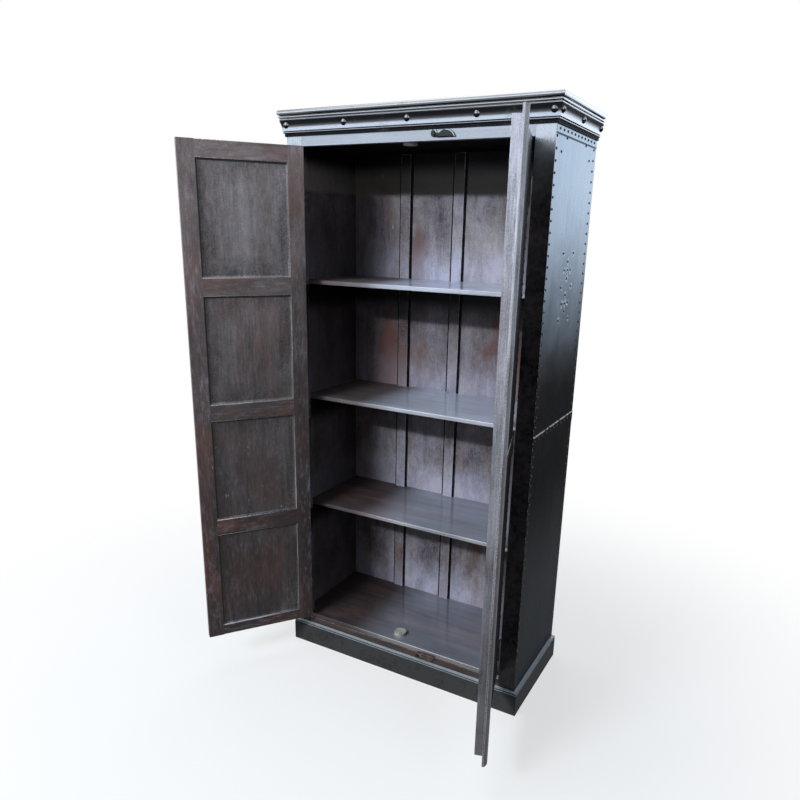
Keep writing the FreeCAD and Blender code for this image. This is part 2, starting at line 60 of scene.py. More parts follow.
# %% [markdown]
# The picture was taken from the right, a little above the upper shelf, looking down. A camera could be
# set by eye, but then no edge falls quite where it should. Place, turns and lens were solved from corners
# of the cupboard instead, and a shift of the lens frames it as the picture does.

# %% The camera
CAMERA_PLACE = Vector((1.0749, -1.9055, 1.5454))
CAMERA_AZIMUTH = math.radians(28.77)
CAMERA_DIP = math.radians(16.68)
CAMERA_ROLL = math.radians(1.32)
LENS_MM = 31.25
PICTURE_SIDE = 800
AXIS_PIXEL = (410.0, 438.4)
UP = Vector((0, 0, 1))

level = math.cos(CAMERA_DIP)
ahead = Vector((-math.sin(CAMERA_AZIMUTH) * level, math.cos(CAMERA_AZIMUTH) * level, -math.sin(CAMERA_DIP)))
across = ahead.cross(UP).normalized()
upward = across.cross(ahead)
roll = Matrix.Rotation(-CAMERA_ROLL, 3, ahead)
camera = bpy.data.objects.new("camera", bpy.data.cameras.new("camera"))
camera.matrix_world = Matrix((roll @ across, roll @ upward, -ahead)).transposed().to_4x4()
camera.location = CAMERA_PLACE
camera.data.lens = LENS_MM
camera.data.shift_x = 0.5 - AXIS_PIXEL[0] / PICTURE_SIDE
camera.data.shift_y = AXIS_PIXEL[1] / PICTURE_SIDE - 0.5
scene.collection.objects.link(camera)
scene.camera = camera
print("camera shift:", round(camera.data.shift_x, 4), round(camera.data.shift_y, 4))

# %% [markdown]
# A finish is a sum: so much streak, so much cloud, less where it is rubbed. Nodes could be placed and
# linked one by one, but that hides the sum. Here a small class wraps one output socket: adding or
# multiplying two of them adds a Math node, and one method adds any other node.

# %% Shader wires


class Wire:
    """An output socket that can be used like a number."""

    def __init__(self, tree, made=None, output=0):
        self.tree = tree
        self.made = made
        self.socket = made.outputs[output] if made and made.outputs else None

    def node(self, kind, settings=None, sockets=None, output=0):
        """Add a node: first its settings, then a value or a wire for each socket."""
        made = self.tree.nodes.new("ShaderNode" + kind)
        for name, value in (settings or {}).items():
            setattr(made, name, value)
        for name, value in (sockets or {}).items():
            if isinstance(value, Wire):
                self.tree.links.new(value.socket, made.inputs[name])
            else:
                made.inputs[name].default_value = value
        return Wire(self.tree, made, output)

    def other(self, output):
        """Another output of the same node."""
        return Wire(self.tree, self.made, output)

    def math(self, operation, *values):
        return self.node("Math", {"operation": operation}, dict(enumerate(values)))

    def __add__(self, other):
        return self.math("ADD", self, other)

    def __sub__(self, other):
        return self.math("SUBTRACT", self, other)

    def __rsub__(self, other):
        return self.math("SUBTRACT", other, self)

    def __mul__(self, other):
        return self.math("MULTIPLY", self, other)

    __radd__ = __add__
    __rmul__ = __mul__

    def clamp(self):
        return self.math("MINIMUM", self.math("MAXIMUM", self, 0.0), 1.0)

    def step(self, low, high):
        """A soft step from 0 at low to 1 at high."""
        return self.node("MapRange", {"interpolation_type": "SMOOTHSTEP"},
                         {"Value": self, "From Min": low, "From Max": high})

    def tint(self, low, high):
        """A colour that goes from low to high with this value."""
        return self.node("Mix", {"data_type": "RGBA"}, {0: self, 6: low, 7: high}, 2)

    def blend(self, low, high):
        """A shader that goes from low to high with this value."""
        return self.node("MixShader", {}, {0: self, 1: low, 2: high})

    def bump(self, strength, distance):
        """A normal that is bumped as if this value were a height."""
        return self.node("Bump", {}, {"Strength": strength, "Distance": distance, "Height": self})

    def axis(self, name):
        """One axis of a place or of a direction."""
        return self.node("SeparateXYZ", {}, {"Vector": self}, name)

    def scaled(self, stretch):
        """A place in space, stretched along each axis."""
        return self.node("VectorMath", {"operation": "MULTIPLY"}, {0: self, 1: stretch})

    def noise(self, scale, detail=3.0, rough=0.55, twist=0.0):
        """Cloudy noise at this place, from about 0.25 to 0.75."""
        return self.node("TexNoise", {}, {"Vector": self, "Scale": scale, "Detail": detail,
                                          "Roughness": rough, "Distortion": twist})


def new_finish(name):
    """An empty material and a wire to build its nodes with."""
    material = bpy.data.materials.new(name)
    material.use_nodes = True
    material.node_tree.nodes.clear()
    return material, Wire(material.node_tree)


def finished(material, surface):
    """Link a shader to the material's output, which ends a finish."""
    surface.node("OutputMaterial", {}, {"Surface": surface})
    return material


def object_place(wire):
    return wire.node("TexCoord", {}, {}, "Object")


def grey(tone):
    return (tone, tone, tone, 1.0)


print("a wire has", len([name for name in dir(Wire) if not name.startswith("__")]), "methods")

# %% [markdown]
# The stage is a pale floor that melts into a white background, so that only the soft shadow under the
# cupboard shows where it stands. A curved backdrop would do that too, but it would send light into the
# bays, which are dark under each shelf. So the floor is flat and bounces little, and rays from the camera
# and from glossy surfaces see it and the background as white.

# %% Floor and background
FLOOR_HALF = 14.0
FLOOR_FADE = (0.7, 2.2)
FLOOR_TONE = 0.90
FLOOR_BOUNCE = 0.16
FLOOR_WHITE = 0.60
AMBIENT = 0.07


def as_mesh(shape, name):
    """Turn a shape into a mesh, and let go of the shape."""
    mesh = bpy.data.meshes.new(name)
    shape.to_mesh(mesh)
    shape.free()
    return mesh


def seen_rays(wire):
    """1 on rays that show the background itself: from the camera, a gloss or a glass."""
    path = wire.node("LightPath", {}, {}, "Is Camera Ray")
    return (path + path.other("Is Glossy Ray") + path.other("Is Transmission Ray")).clamp()


def floor_finish():
    material, wire = new_finish("pale_floor")
    flat = object_place(wire).scaled((1.0, 1.0, 0.0))
    distance = wire.node("VectorMath", {"operation": "LENGTH"}, {0: flat}, "Value")
    paint = wire.node("BsdfDiffuse", {}, {"Color": grey(FLOOR_TONE)})
    white = wire.node("Emission", {}, {"Color": grey(1.0), "Strength": 1.0})
    mask = FLOOR_WHITE + distance.step(*FLOOR_FADE) * (1.0 - FLOOR_WHITE)
    bounce = wire.node("BsdfDiffuse", {}, {"Color": grey(FLOOR_BOUNCE)})
    return finished(material, seen_rays(wire).blend(bounce, mask.blend(paint, white)))


shape = bmesh.new()
bmesh.ops.create_grid(shape, x_segments=1, y_segments=1, size=FLOOR_HALF)
floor = bpy.data.objects.new("floor", as_mesh(shape, "floor"))
floor.data.materials.append(floor_finish())
scene.collection.objects.link(floor)

world = bpy.data.worlds.new("studio")
world.use_nodes = True
world.node_tree.nodes.clear()
sky = Wire(world.node_tree)
fill = sky.node("Background", {}, {"Color": grey(1.0), "Strength": AMBIENT})
white = sky.node("Background", {}, {"Color": grey(1.0), "Strength": 1.0})
sky.node("OutputWorld", {}, {"Surface": seen_rays(sky).blend(fill, white)})
scene.world = world
print("floor fades to white between", FLOOR_FADE, "m")

# %% [markdown]
# Small lamps throw hard shadows, so the light comes from rectangles, as from a studio's soft boxes. A flat
# key box hangs high in front and a little to the left, so that the frieze, the shelves and the left stile
# throw their shadows on the back boards. A wide box beside it and one above fill in, as an open sky would.
# A low screen in front gives no diffuse light: it is only there for the polished iron and the cornice to
# mirror. The key isn't mirrored, because it would burn out. One box on the right reaches the open left
# door, and two behind give the sides their sheen.

# %% Soft boxes
COOL = (0.84, 0.92, 1.0)
BLUE = (0.65, 0.79, 1.0)


def soft_box(name, place, aim, size, radiance, tint):
    """A lamp with a rectangular face that looks at a point."""
    lamp = bpy.data.lights.new(name, "AREA")
    lamp.shape = "RECTANGLE"
    lamp.size, lamp.size_y = size
    lamp.energy = radiance * math.pi * size[0] * size[1]
    lamp.color = tint
    box = bpy.data.objects.new(name, lamp)
    box.location = place
    box.rotation_euler = (Vector(aim) - Vector(place)).to_track_quat("-Z", "Y").to_euler()
    box.visible_camera = False
    scene.collection.objects.link(box)
    return box


key = soft_box("key_box", (-1.2, -4.6, 3.45), (0, 0, 1.0), (1.5, 0.16), 222.0, COOL)
key.visible_glossy = False
soft_box("sky_box", (-2.0, -4.4, 4.3), (0, 0, 1.2), (5.4, 1.7), 4.0, COOL)
screen = soft_box("front_screen", (-1.3, -4.6, 2.0), (0, 0, 1.8), (7.0, 1.5), 7.0, BLUE)
screen.visible_diffuse = False
soft_box("top_box", (-0.8, 0.2, 4.3), (-0.2, 0, 1.0), (4.0, 2.0), 3.0, COOL)
soft_box("right_box", (4.0, -1.8, 2.4), (-0.5, -0.2, 1.3), (2.5, 1.6), 4.9, COOL)
soft_box("back_box", (1.55, 3.1, 1.9), (0.4, 0.2, 1.4), (2.0, 2.5), 1.75, BLUE)
soft_box("left_box", (-3.6, 1.4, 2.4), (-0.4, 0.2, 1.0), (2.0, 1.6), 1.6, COOL)

# %% [markdown]
# Every piece starts from the solid that it stands for, so it can't drift. New boards could be drawn in
# their places, but then two models would have to agree. The copy is merged, its flat faces are made whole
# again, and its long sharp edges are bevelled. Four numbers go on the corners of the faces, for the
# finishes to read: how worn a place is, with painted highlights, how dirty, with painted shade, a tone
# for each board, and a share of bloom.

# %% From solid to worn shape
MERGE = 1e-5
FLAT_ANGLE = math.radians(1.0)
SHARP_ANGLE = math.radians(35.0)
LONG_EDGE = 4
MARKS = "marks"


def solid_copy(node):
    """A copy of a solid with merged corners and whole flat faces."""
    shape = bmesh.new()
    shape.from_mesh(frame["nodes"][node].data)
    bmesh.ops.remove_doubles(shape, verts=shape.verts, dist=MERGE)
    bmesh.ops.dissolve_limit(shape, angle_limit=FLAT_ANGLE, verts=shape.verts, edges=shape.edges)
    return shape


def islands(shape):
    """The faces of each separate solid in the shape."""
    left = set(shape.faces)
    while left:
        group = [left.pop()]
        for face in group:
            near = {other for edge in face.edges for other in edge.link_faces} & left
            left -= near
            group.extend(near)
        yield group


def group_middle(group):
    """The middle of a solid's faces, rounded so that sorting is steady."""
    middle = sum((face.calc_center_median() for face in group), Vector()) / len(group)
    return Vector(round(value, 4) for value in middle)


def spans_of(node, axis):
    """The least and the greatest place along an axis, for each solid of a node."""
    shape = solid_copy(node)
    spans = []
    for group in islands(shape):
        places = [vert.co[axis] for face in group for vert in face.verts]
        spans.append((min(places), max(places)))
    shape.free()
    return sorted(spans)


def slice_at(shape, place, direction):
    """Cut a whole shape across a direction."""
    parts = shape.verts[:] + shape.edges[:] + shape.faces[:]
    bmesh.ops.bisect_plane(shape, geom=parts, plane_co=direction * place, plane_no=direction)


def ease(shape, radius, segments=2, open_edge=None):
    """Round the long sharp edges, or those of them that are open, and return the narrow faces made."""
    crossed = {vert for edge in shape.edges if len(edge.link_faces) != 2 for vert in edge.verts}
    sharp = [edge for edge in shape.edges if not crossed.intersection(edge.verts)
             and edge.calc_face_angle() > SHARP_ANGLE and edge.calc_length() > LONG_EDGE * radius
             and (open_edge is None or open_edge(edge))]
    made = bmesh.ops.bevel(shape, geom=sharp, offset=radius, offset_type="OFFSET", segments=segments,
                           profile=0.5, affect="EDGES", material=-1, clamp_overlap=True)
    return made["faces"]


def mark(shape, seed, wear_and_highlight=None, dirt_and_shade=None, bloom=None):
    """Write the worn share with painted highlights, the dirty share with painted shade, a tone and a share of
    bloom on every corner.

    The worn share is given by face or by face and corner, the dirty share by a function, and bloom by face.
    """
    draw = random.Random(seed)
    layer = shape.loops.layers.float_color.new(MARKS)
    wear_and_highlight = wear_and_highlight or {}
    bloom = bloom or {}
    for group in sorted(islands(shape), key=lambda group: tuple(group_middle(group))):
        tone = draw.random()
        for face in group:
            for loop in face.loops:
                worn = wear_and_highlight.get((face, loop.vert), wear_and_highlight.get(face, 0.0))
                loop[layer] = (worn, dirt_and_shade(loop) if dirt_and_shade else 0.0, tone, bloom.get(face, 1.0))


def dirt_and_shade_on(faces, amount=1.0):
    """An even share of grime and painted shade on some faces, in the form that mark takes."""
    return lambda loop: amount if loop.face in faces else 0.0


print("battens across:", [tuple(round(edge, 3) for edge in span) for span in spans_of("back_battens", 0)])

# %% [markdown]
# A piece has to know which body carries it. That could be typed in for every piece. It is looked up in
# the frame's record instead, under the node whose place the piece takes, so that nothing is left behind
# when a door swings. The node's slot is looked up there too, but the piece isn't given it.

# %% Pieces in place of solids
FACING = 0.9


def body_of(node):
    return next(name for name, nodes in frame["record"]["behaviour"]["bodies"].items() if node in nodes)


def slot_of(node):
    return next(row["material_slot"] for row in frame["record"]["subparts"] if row["node"] == node)


def ride_with(shape, name, finish, node):
    """Turn a shape into a piece that rides on the same body as a node."""
    mesh = as_mesh(shape, name)
    if "custom_normal" in mesh.attributes:
        mesh.attributes.remove(mesh.attributes["custom_normal"])
    piece = bpy.data.objects.new(name, mesh)
    mesh.materials.clear()
    mesh.materials.append(finish)
    scene.collection.objects.link(piece)
    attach(piece, body_of(node))
    slot_of(node)
    return piece


def stand_for(shape, node, finish, ending="_aged"):
    """Turn a shape into the piece that takes a node's place."""
    piece = ride_with(shape, node + ending, finish, node)
    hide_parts(node)
    return piece


def smooth(piece):
    """Shade a piece smooth, apart from its sharp edges."""
    piece.data.shade_smooth()
    piece.data.set_sharp_from_angle(angle=SHARP_ANGLE)
    return piece


def aged(node, finish, radius, segments=2, front=None):
    """A board with eased, worn edges and flat faces in between. Its front can have a worn and sheen share."""
    shape = solid_copy(node)
    wear_and_highlight = dict.fromkeys(ease(shape, radius, segments), 1.0)
    for face in shape.faces:
        face.smooth = face in wear_and_highlight
        if front is not None and face.normal.y < -FACING:
            wear_and_highlight[face] = front
    mark(shape, node, wear_and_highlight)
    return stand_for(shape, node, finish)


def rounded(node, finish, radius=0.0, segments=2, dirt_and_shade=None):
    """A piece with curved faces, shaded smooth up to an angle."""
    shape = solid_copy(node)
    worn = ease(shape, radius, segments) if radius else []
    shape.normal_update()
    mark(shape, node, dict.fromkeys(worn, 1.0), dirt_and_shade)
    return smooth(stand_for(shape, node, finish))


print("slots:", sorted({slot_of(node) for node in frame["nodes"]}))

# %% [markdown]
# Each door hangs on upright pins and stands open, so its boards lie askew in space, and the grain has to
# follow them. A door could be modelled shut and then turned, but every piece has to sit at the origin,
# unturned. So a Mapping node undoes the door's turn in the finish instead. The turn is what each hinge
# still has to go until the door is shut.

# %% Where the doors hang


class Hang:
    """A turn about an upright pin, which a pattern follows."""

    def __init__(self, pin=(0, 0, 0), turn=0.0):
        self.pin = Vector(pin)
        self.turn = turn

    def matrix(self):
        return Matrix.Translation(self.pin) @ Matrix.Rotation(self.turn, 4, UP)


def door_hang(joint_name):
    joint = next(row for row in frame["joints"] if row["name"] == joint_name)
    turn = -math.radians(joint["range_deg"][0]) * joint["axis"][2]
    x, y = joint["pos_m"][:2]
    return Hang((x, y, 0.0), turn)


straight = Hang()
hangs = {side: door_hang(f"{side}_door_hinge") for side in ("left", "right")}
print("doors turned by", {side: round(math.degrees(hang.turn), 1) for side, hang in hangs.items()})

# %% [markdown]
# The wood was stained nearly black, then waxed, rubbed and handled for decades. A picture of wood could be
# wrapped round each board, but it would repeat and show seams. Here noise at the right scale, stretched
# along the grain, gives fine fibres, broader streaks, reddish patches where the stain has gone, a grey
# bloom of old wax and pale scuffs. A board's tone moves its noise on, so that no two boards are alike.

# %% Colours and grain of the wood
STAIN_DEEP = (0.016, 0.010, 0.009, 1.0)
STAIN_MID = (0.110, 0.074, 0.066, 1.0)
STAIN_RED = (0.150, 0.066, 0.050, 1.0)
WARM_BLOOM = (0.420, 0.350, 0.345, 1.0)
PANEL_BLOOM = (0.415, 0.385, 0.400, 1.0)
BROWN_BLOOM = (0.500, 0.455, 0.475, 1.0)
COLD_BLOOM = (0.530, 0.515, 0.635, 1.0)
SHELF_DUST_AND_SHEEN = (0.630, 0.705, 0.860, 1.0)
PALE_BLOOM = (0.660, 0.665, 0.735, 1.0)
BARE_ARRIS_AND_HIGHLIGHT = (0.540, 0.530, 0.550, 1.0)
SHADE_AND_DIRT = (0.004, 0.003, 0.003, 1.0)
SHADE_BROWN = (0.230, 0.205, 0.165, 1.0)
TONE_SHIFT = (3.1, 1.7, 2.3)
NICK = (90.0, 110.0, 30.0)
GRIT_SCALE = 260.0


def along_grain(along, across):
    """A stretch for noise, on boards that lie along X and on boards that stand."""
    return {"X": (along, across, across), "Z": (across, across, along)}


FIBRE = along_grain(14.0, 340.0)
STREAK = along_grain(2.2, 34.0)
PATCH = along_grain(2.5, 6.0)
CLOUD = along_grain(5.0, 10.0)
MOTTLE = along_grain(40.0, 62.0)
SCUFF = along_grain(26.0, 95.0)


def board_place(wire, hang, tone):
    """Object coordinates in the board's own frame, and the same moved on by the board's tone."""
    turned = wire.node("Mapping", {"vector_type": "TEXTURE"}, {
        "Vector": object_place(wire), "Location": hang.pin, "Rotation": (0.0, 0.0, hang.turn)})
    moved = wire.node("VectorMath", {"operation": "MULTIPLY_ADD"}, {0: tone, 1: TONE_SHIFT, 2: turned})
    return turned, moved


def read_marks(wire):
    """The worn share with painted highlights, the dirty share with painted shade, and tone, as mark wrote them."""
    colour = wire.node("Attribute", {"attribute_name": MARKS}, {}, "Color")
    parts = wire.node("SeparateColor", {}, {"Color": colour}, "Red")
    return parts, parts.other("Green"), parts.other("Blue")


print("fibres are about", round(FIBRE["Z"][0] / FIBRE["Z"][2]), "times as long as they are broad")

# %% [markdown]
# Inside the cupboard the finish depends on the place. Painted shade darkens the boards under each shelf,
# and under the ceiling, where it is brown. Dust with a painted sheen lies on the shelves, dust creeps up the
# boards behind them, and painted shade darkens the boards by the side walls and in the second bay. All this
# could be painted on by hand. It is worked out from the heights of the shelves in the frame instead, so
# that it stays with them. Behind, the boards were never finished.

# %% Painted shade, dust and sheen
SHELVES = ("shelf_lower", "shelf_middle", "shelf_upper")
SHELF_SHADE = (0.120, 0.050)
CEILING_SHADE = (0.085, 0.025)
BROWN_SHADE_DEPTH = (0.142, 0.128)
DUST_RISE = (0.17, 0.02)
LEFT_SHADE = (-0.38, -0.08)
RIGHT_SHADE = (0.25, 0.18)
SHELF_LEFT_SHADE = (-0.23, -0.05)
SHELF_RIGHT_SHADE = (0.37, 0.31)
LEVEL_FACE = (0.55, 0.95)
REAR_FACE = (0.8, 0.5)
HAIR = 0.001
shelf_feet = [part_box(node)[0].z for node in SHELVES]
bay_feet = [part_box(node)[1].z for node in ("floor_board",) + SHELVES]
ceiling_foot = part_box("ceiling_board")[0].z


def surface_normal(wire):
    return wire.node("NewGeometry", {}, {}, "Normal")


def facing_up(wire):
    """1 on faces that look up, where dust settles and a painted sheen lies."""
    return surface_normal(wire).axis("Z").step(*LEVEL_FACE)


def looks_inward(wire):
    """0 on faces that look to the rear, 1 on the others."""
    return surface_normal(wire).axis("Y").step(*REAR_FACE)


def away_from_wall_shade(place, span):
    """From 0 by a side wall, in painted shade, to 1 where the bays are open and lit."""
    return place.axis("X").step(*span)


def shade_under(height):
    """1 right under each shelf and under the ceiling, fading out below, where painted shade goes."""
    inside_shade = (ceiling_foot - height).step(*CEILING_SHADE)
    for foot in shelf_feet:
        inside_shade = inside_shade + (foot - height).step(*SHELF_SHADE) * height.step(foot + HAIR, foot)
    return inside_shade


def dust_above(height):
    """1 right above the floor and each shelf, fading out upwards."""
    shares = [(height - foot).step(*DUST_RISE) * height.step(foot - HAIR, foot) for foot in bay_feet]
    return sum(shares[1:], shares[0])


def second_bay(height):
    """1 in the second bay from the top, which is darkened as painted shade."""
    foot, head = bay_feet[2], shelf_feet[2]
    return height.step(foot - HAIR, foot) * height.step(head, head - HAIR)


print("bays start at", [round(foot, 3) for foot in bay_feet])

# %% [markdown]
# One function makes all the woods. A finish could be copied for every board and changed, but copies soon
# differ by accident. Here the layers go on in the order in which they came onto the real wood: stain, red
# patches where it has gone, bloom, scuffs, dust, dirt in the corners, and last the bare arrises and nicks.
# Painted light and shade go in with them: paler towards the top, a sheen on the dust, shade under the
# shelves, by the walls and in the corners, and highlights on the ledges. Shade, dust and scuffs are left
# out where a board has none.

# %% Aged wood
HEAD_HEIGHT = 1.8
SECOND_BAY_SHADE = 0.26
REAR_RED = 0.25


def aged_wood(name, grain, hang=straight, bloom=(0.45, 0.45), film=WARM_BLOOM, dust=0.0, polish=0.0,
              gloss=0.25, inside_shade=0.0, figure=1.0, patches=1.0, stain=1.0, scuffs=0.0):
    """Dark waxed wood, paler towards the top as painted light. The bloom is given for the foot and the head of the
    cupboard.
    """
    material, wire = new_finish(name)
    wear_and_highlight, dirt_and_shade, tone = read_marks(wire)
    place, moved = board_place(wire, hang, tone)

    def grained(stretch, *settings):
        return moved.scaled(stretch[grain]).noise(1.0, *settings)

    fibre = grained(FIBRE, 4.0, 0.6).step(0.32, 0.68)
    streak = grained(STREAK, 5.0, 0.62, 0.6).step(0.30, 0.70)
    bald = grained(PATCH, 5.0, 0.65, 0.3).step(0.49, 0.68) * patches
    cloud = grained(CLOUD, 4.0, 0.55, 0.4).step(0.28, 0.72)
    mottle = grained(MOTTLE, 6.0, 0.7, 1.0).step(0.30, 0.70)
    nick = moved.scaled(NICK).noise(1.0, 1.0, 0.5).step(0.79, 0.81)
    grit = moved.noise(GRIT_SCALE, 3.0, 0.7).step(0.36, 0.64)
    height = place.axis("Z")
    painted_top_light = height * height * (1.0 / HEAD_HEIGHT ** 2)
    if inside_shade:
        inward = looks_inward(wire)
        cloud = cloud * inward + streak * (1.0 - inward)
        bald = bald * (REAR_RED + inward * (1.0 - REAR_RED))

    # Stain, paler towards the top as painted light, and red patches where it has gone
    colour = ((streak * 0.6 + fibre * 0.4) * (0.50 + painted_top_light * 0.50) * stain).tint(STAIN_DEEP, STAIN_MID)
    colour = (bald * 0.75).tint(colour, STAIN_RED)

    # Bloom of old wax, which keeps off the patches, with painted light that grows with the height
    haze_and_sheen = cloud * 0.45 + (streak * 0.22 + fibre * 0.25) * figure + mottle * 0.36 * (1.0 - figure)
    haze_and_sheen = haze_and_sheen + grit * 0.20 - 0.05
    share = wire.node("Attribute", {"attribute_name": MARKS}, {}, "Alpha")
    haze_and_sheen = haze_and_sheen * (1.0 - bald * 0.55) * (bloom[0] + painted_top_light * (bloom[1] - bloom[0])) * share
    sheen = (0.6 + cloud * 0.4) * polish
    if inside_shade:
        inside_shade = inward * inside_shade
        haze_and_sheen = haze_and_sheen + dust_above(height) * inward * bloom[0] * 0.40
        behind = (1.0 - inward) * (0.25 + tone * 0.5)
        # Painted shade darkens the second bay.
        haze_and_sheen = haze_and_sheen * (inward * (1.0 - second_bay(height) * SECOND_BAY_SHADE) + behind)
        tide = moved.scaled(PATCH[grain]).noise(1.6, 3.0, 0.5, 0.5).step(0.40, 0.60)
        film = (tide * 0.55 + dust_above(height) * 0.55).clamp().tint(BROWN_BLOOM, film)
    # Painted shade darkens the boards by the left wall.
    if inside_shade or dust:
        out_of_shade = away_from_wall_shade(place, SHELF_LEFT_SHADE if dust else LEFT_SHADE)
        haze_and_sheen = haze_and_sheen * (0.50 + out_of_shade * 0.50)
    # Painted shade darkens the inside boards at the right-hand end.
    if inside_shade:
        haze_and_sheen = haze_and_sheen * (0.35 + away_from_wall_shade(place, RIGHT_SHADE) * 0.65)
    colour = haze_and_sheen.clamp().tint(colour, film)

    # Scuffs, dust with a painted sheen, and painted shade under the shelves and the ceiling
    if scuffs:
        scuffed = grained(SCUFF, 5.0, 0.72).step(0.46, 0.72) * (0.3 + cloud) * scuffs
        colour = scuffed.clamp().tint(colour, COLD_BLOOM)
    if dust:
        # The dust also carries a painted sheen, and both walls cut it back as painted shade.
        dust_and_sheen = wire.math("MAXIMUM", facing_up(wire), wear_and_highlight) * (0.55 + cloud * 0.3 + streak * 0.15) * dust
        dust_and_sheen = dust_and_sheen * (0.04 + out_of_shade * 0.96) * (0.15 + away_from_wall_shade(place, SHELF_RIGHT_SHADE) * 0.85)
        sheen = sheen * (0.10 + out_of_shade * 0.90)
        colour = dust_and_sheen.clamp().tint(colour, SHELF_DUST_AND_SHEEN)
        wear_and_highlight = wear_and_highlight * 0.2
    if inside_shade:
        # Painted shade: brown under the ceiling, and black under each shelf and the ceiling.
        brown_shade = (ceiling_foot - height).step(*BROWN_SHADE_DEPTH) * (0.7 + mottle * 0.3) * inside_shade
        colour = (brown_shade * bloom[0]).clamp().tint(colour, SHADE_BROWN)
        colour = (shade_under(height) * inside_shade).clamp().tint(colour, SHADE_AND_DIRT)

    # Dirt and painted shade in the corners and recesses, bare arrises with painted highlights, and nicks
    colour = (dirt_and_shade * (1.75 - mottle * 0.9)).clamp().tint(colour, SHADE_AND_DIRT)
    rubbed = wear_and_highlight * (0.45 + cloud * 0.9) * (streak * 0.45 + grit * 0.55).step(0.15, 0.75)
    rubbed = (rubbed + nick * 0.45).clamp()
    colour = (rubbed * 0.85).tint(colour, BARE_ARRIS_AND_HIGHLIGHT)
    relief = fibre * 0.4 + streak * 0.5 + grit * 0.25
    return finished(material, wire.node("BsdfPrincipled", {}, {
        "Base Color": colour, "Roughness": 0.46 + cloud * 0.14 - rubbed * 0.05,
        "Normal": relief.bump(0.30, 0.0010), "Specular IOR Level": gloss,
        "Coat Weight": sheen, "Coat Roughness": 0.11, "Coat IOR": 2.3}))


rail_wood = aged_wood("rail_wood", "X", bloom=(0.12, 0.6), gloss=0.20)
print("the wood of the rails has", len(rail_wood.node_tree.nodes), "nodes")

# %% [markdown]
# The boards share a stain and differ in their finish. The back is brushed with a cold bloom, the walls
# and the ceiling are darkened as painted shade, the upper shelves get more dust and painted sheen than
# the lower ones, and the doors get paler towards the top as painted light. One finish with random changes
# would be shorter, but these differences have causes, so each kind of board has a finish of its own.

# %% Wood finishes
SHELF_FILMS = {"lower": (0.1, 0.51), "middle": (0.2, 0.98), "upper": (0.3, 1.40)}


def door_woods(part, grain, **look):
    """The same wood on both doors, turned with each."""
    return {side: aged_wood(f"{side}_door_{part}_wood", grain, hang, **look) for side, hang in hangs.items()}


back_wood = aged_wood("back_wood", "Z", bloom=(0.98, 1.04), film=COLD_BLOOM, gloss=0.04, inside_shade=1.0,
                      figure=0.35, patches=1.3)
# The walls and the ceiling get a darker stain and less bloom, as painted shade.
wall_wood = aged_wood("wall_wood", "Z", bloom=(0.40, 0.40), film=COLD_BLOOM, gloss=0.06, inside_shade=1.0,
                      figure=0.3, patches=0.0, stain=0.2)
ceiling_wood = aged_wood("ceiling_wood", "X", bloom=(0.0, 0.0), gloss=0.02, inside_shade=0.95, patches=0.0, stain=0.3)
shelf_woods = {f"shelf_{part}": aged_wood(f"{part}_shelf_wood", "X", bloom=(film, film), dust=dust,
                                          polish=1.0, figure=0.5)
               for part, (film, dust) in SHELF_FILMS.items()}
floor_wood = aged_wood("floor_wood", "X", bloom=(0.05, 0.05), dust=0.33, polish=1.0, figure=0.4)
door_upright = door_woods("upright", "Z", bloom=(-0.07, 0.76), figure=0.5, patches=0.7, stain=0.7,
                          scuffs=0.24)
door_crosswise = door_woods("crosswise", "X", bloom=(-0.07, 0.82), figure=0.5, patches=0.9, stain=0.65,
                            scuffs=0.22)
door_broad = door_woods("panel", "Z", bloom=(-0.06, 1.13), film=PANEL_BLOOM, figure=0.4, patches=0.6,
                        scuffs=0.14)
meeting_wood = aged_wood("meeting_edge_wood", "Z", hangs["right"], bloom=(0.28, 1.55), film=PALE_BLOOM,
                         patches=0.6)
print("wood finishes:", [material.name for material in bpy.data.materials if material.name.endswith("wood")])

# %% [markdown]
# The iron sheet was lacquered black. The lacquer still shines high up, where nobody rubs against it, and
# has gone dull towards the floor. One shader could fade by its specular level, but the export keeps a
# single value of that for a whole surface, so a polished and a dull shader are mixed by height. Shallow
# ripples in the sheet break the reflections into streaks, and rubbed places show bare metal.

# %% Lacquered iron
IRON_BLACK = (0.0085, 0.0090, 0.0105, 1.0)
IRON_DULL = (0.0220, 0.0215, 0.0225, 1.0)
IRON_BROWN = (0.0640, 0.0520, 0.0530, 1.0)
IRON_BARE_AND_SHEEN = (0.330, 0.350, 0.370, 1.0)
COLD_GLINT = (0.54, 0.79, 1.0, 1.0)
PLAIN_GLINT = (1.0, 1.0, 1.0, 1.0)
FOOT_SHINE = 0.10
FOOT_HEIGHTS = (0.85, 0.30)
SHEEN_TOP = (1.58, 1.77)
FINE_LINE = (0.0034, 0.0016)
SHEET_RIPPLE = along_grain(1.6, 16.0)
SHEET_BRUSH = along_grain(5.0, 150.0)


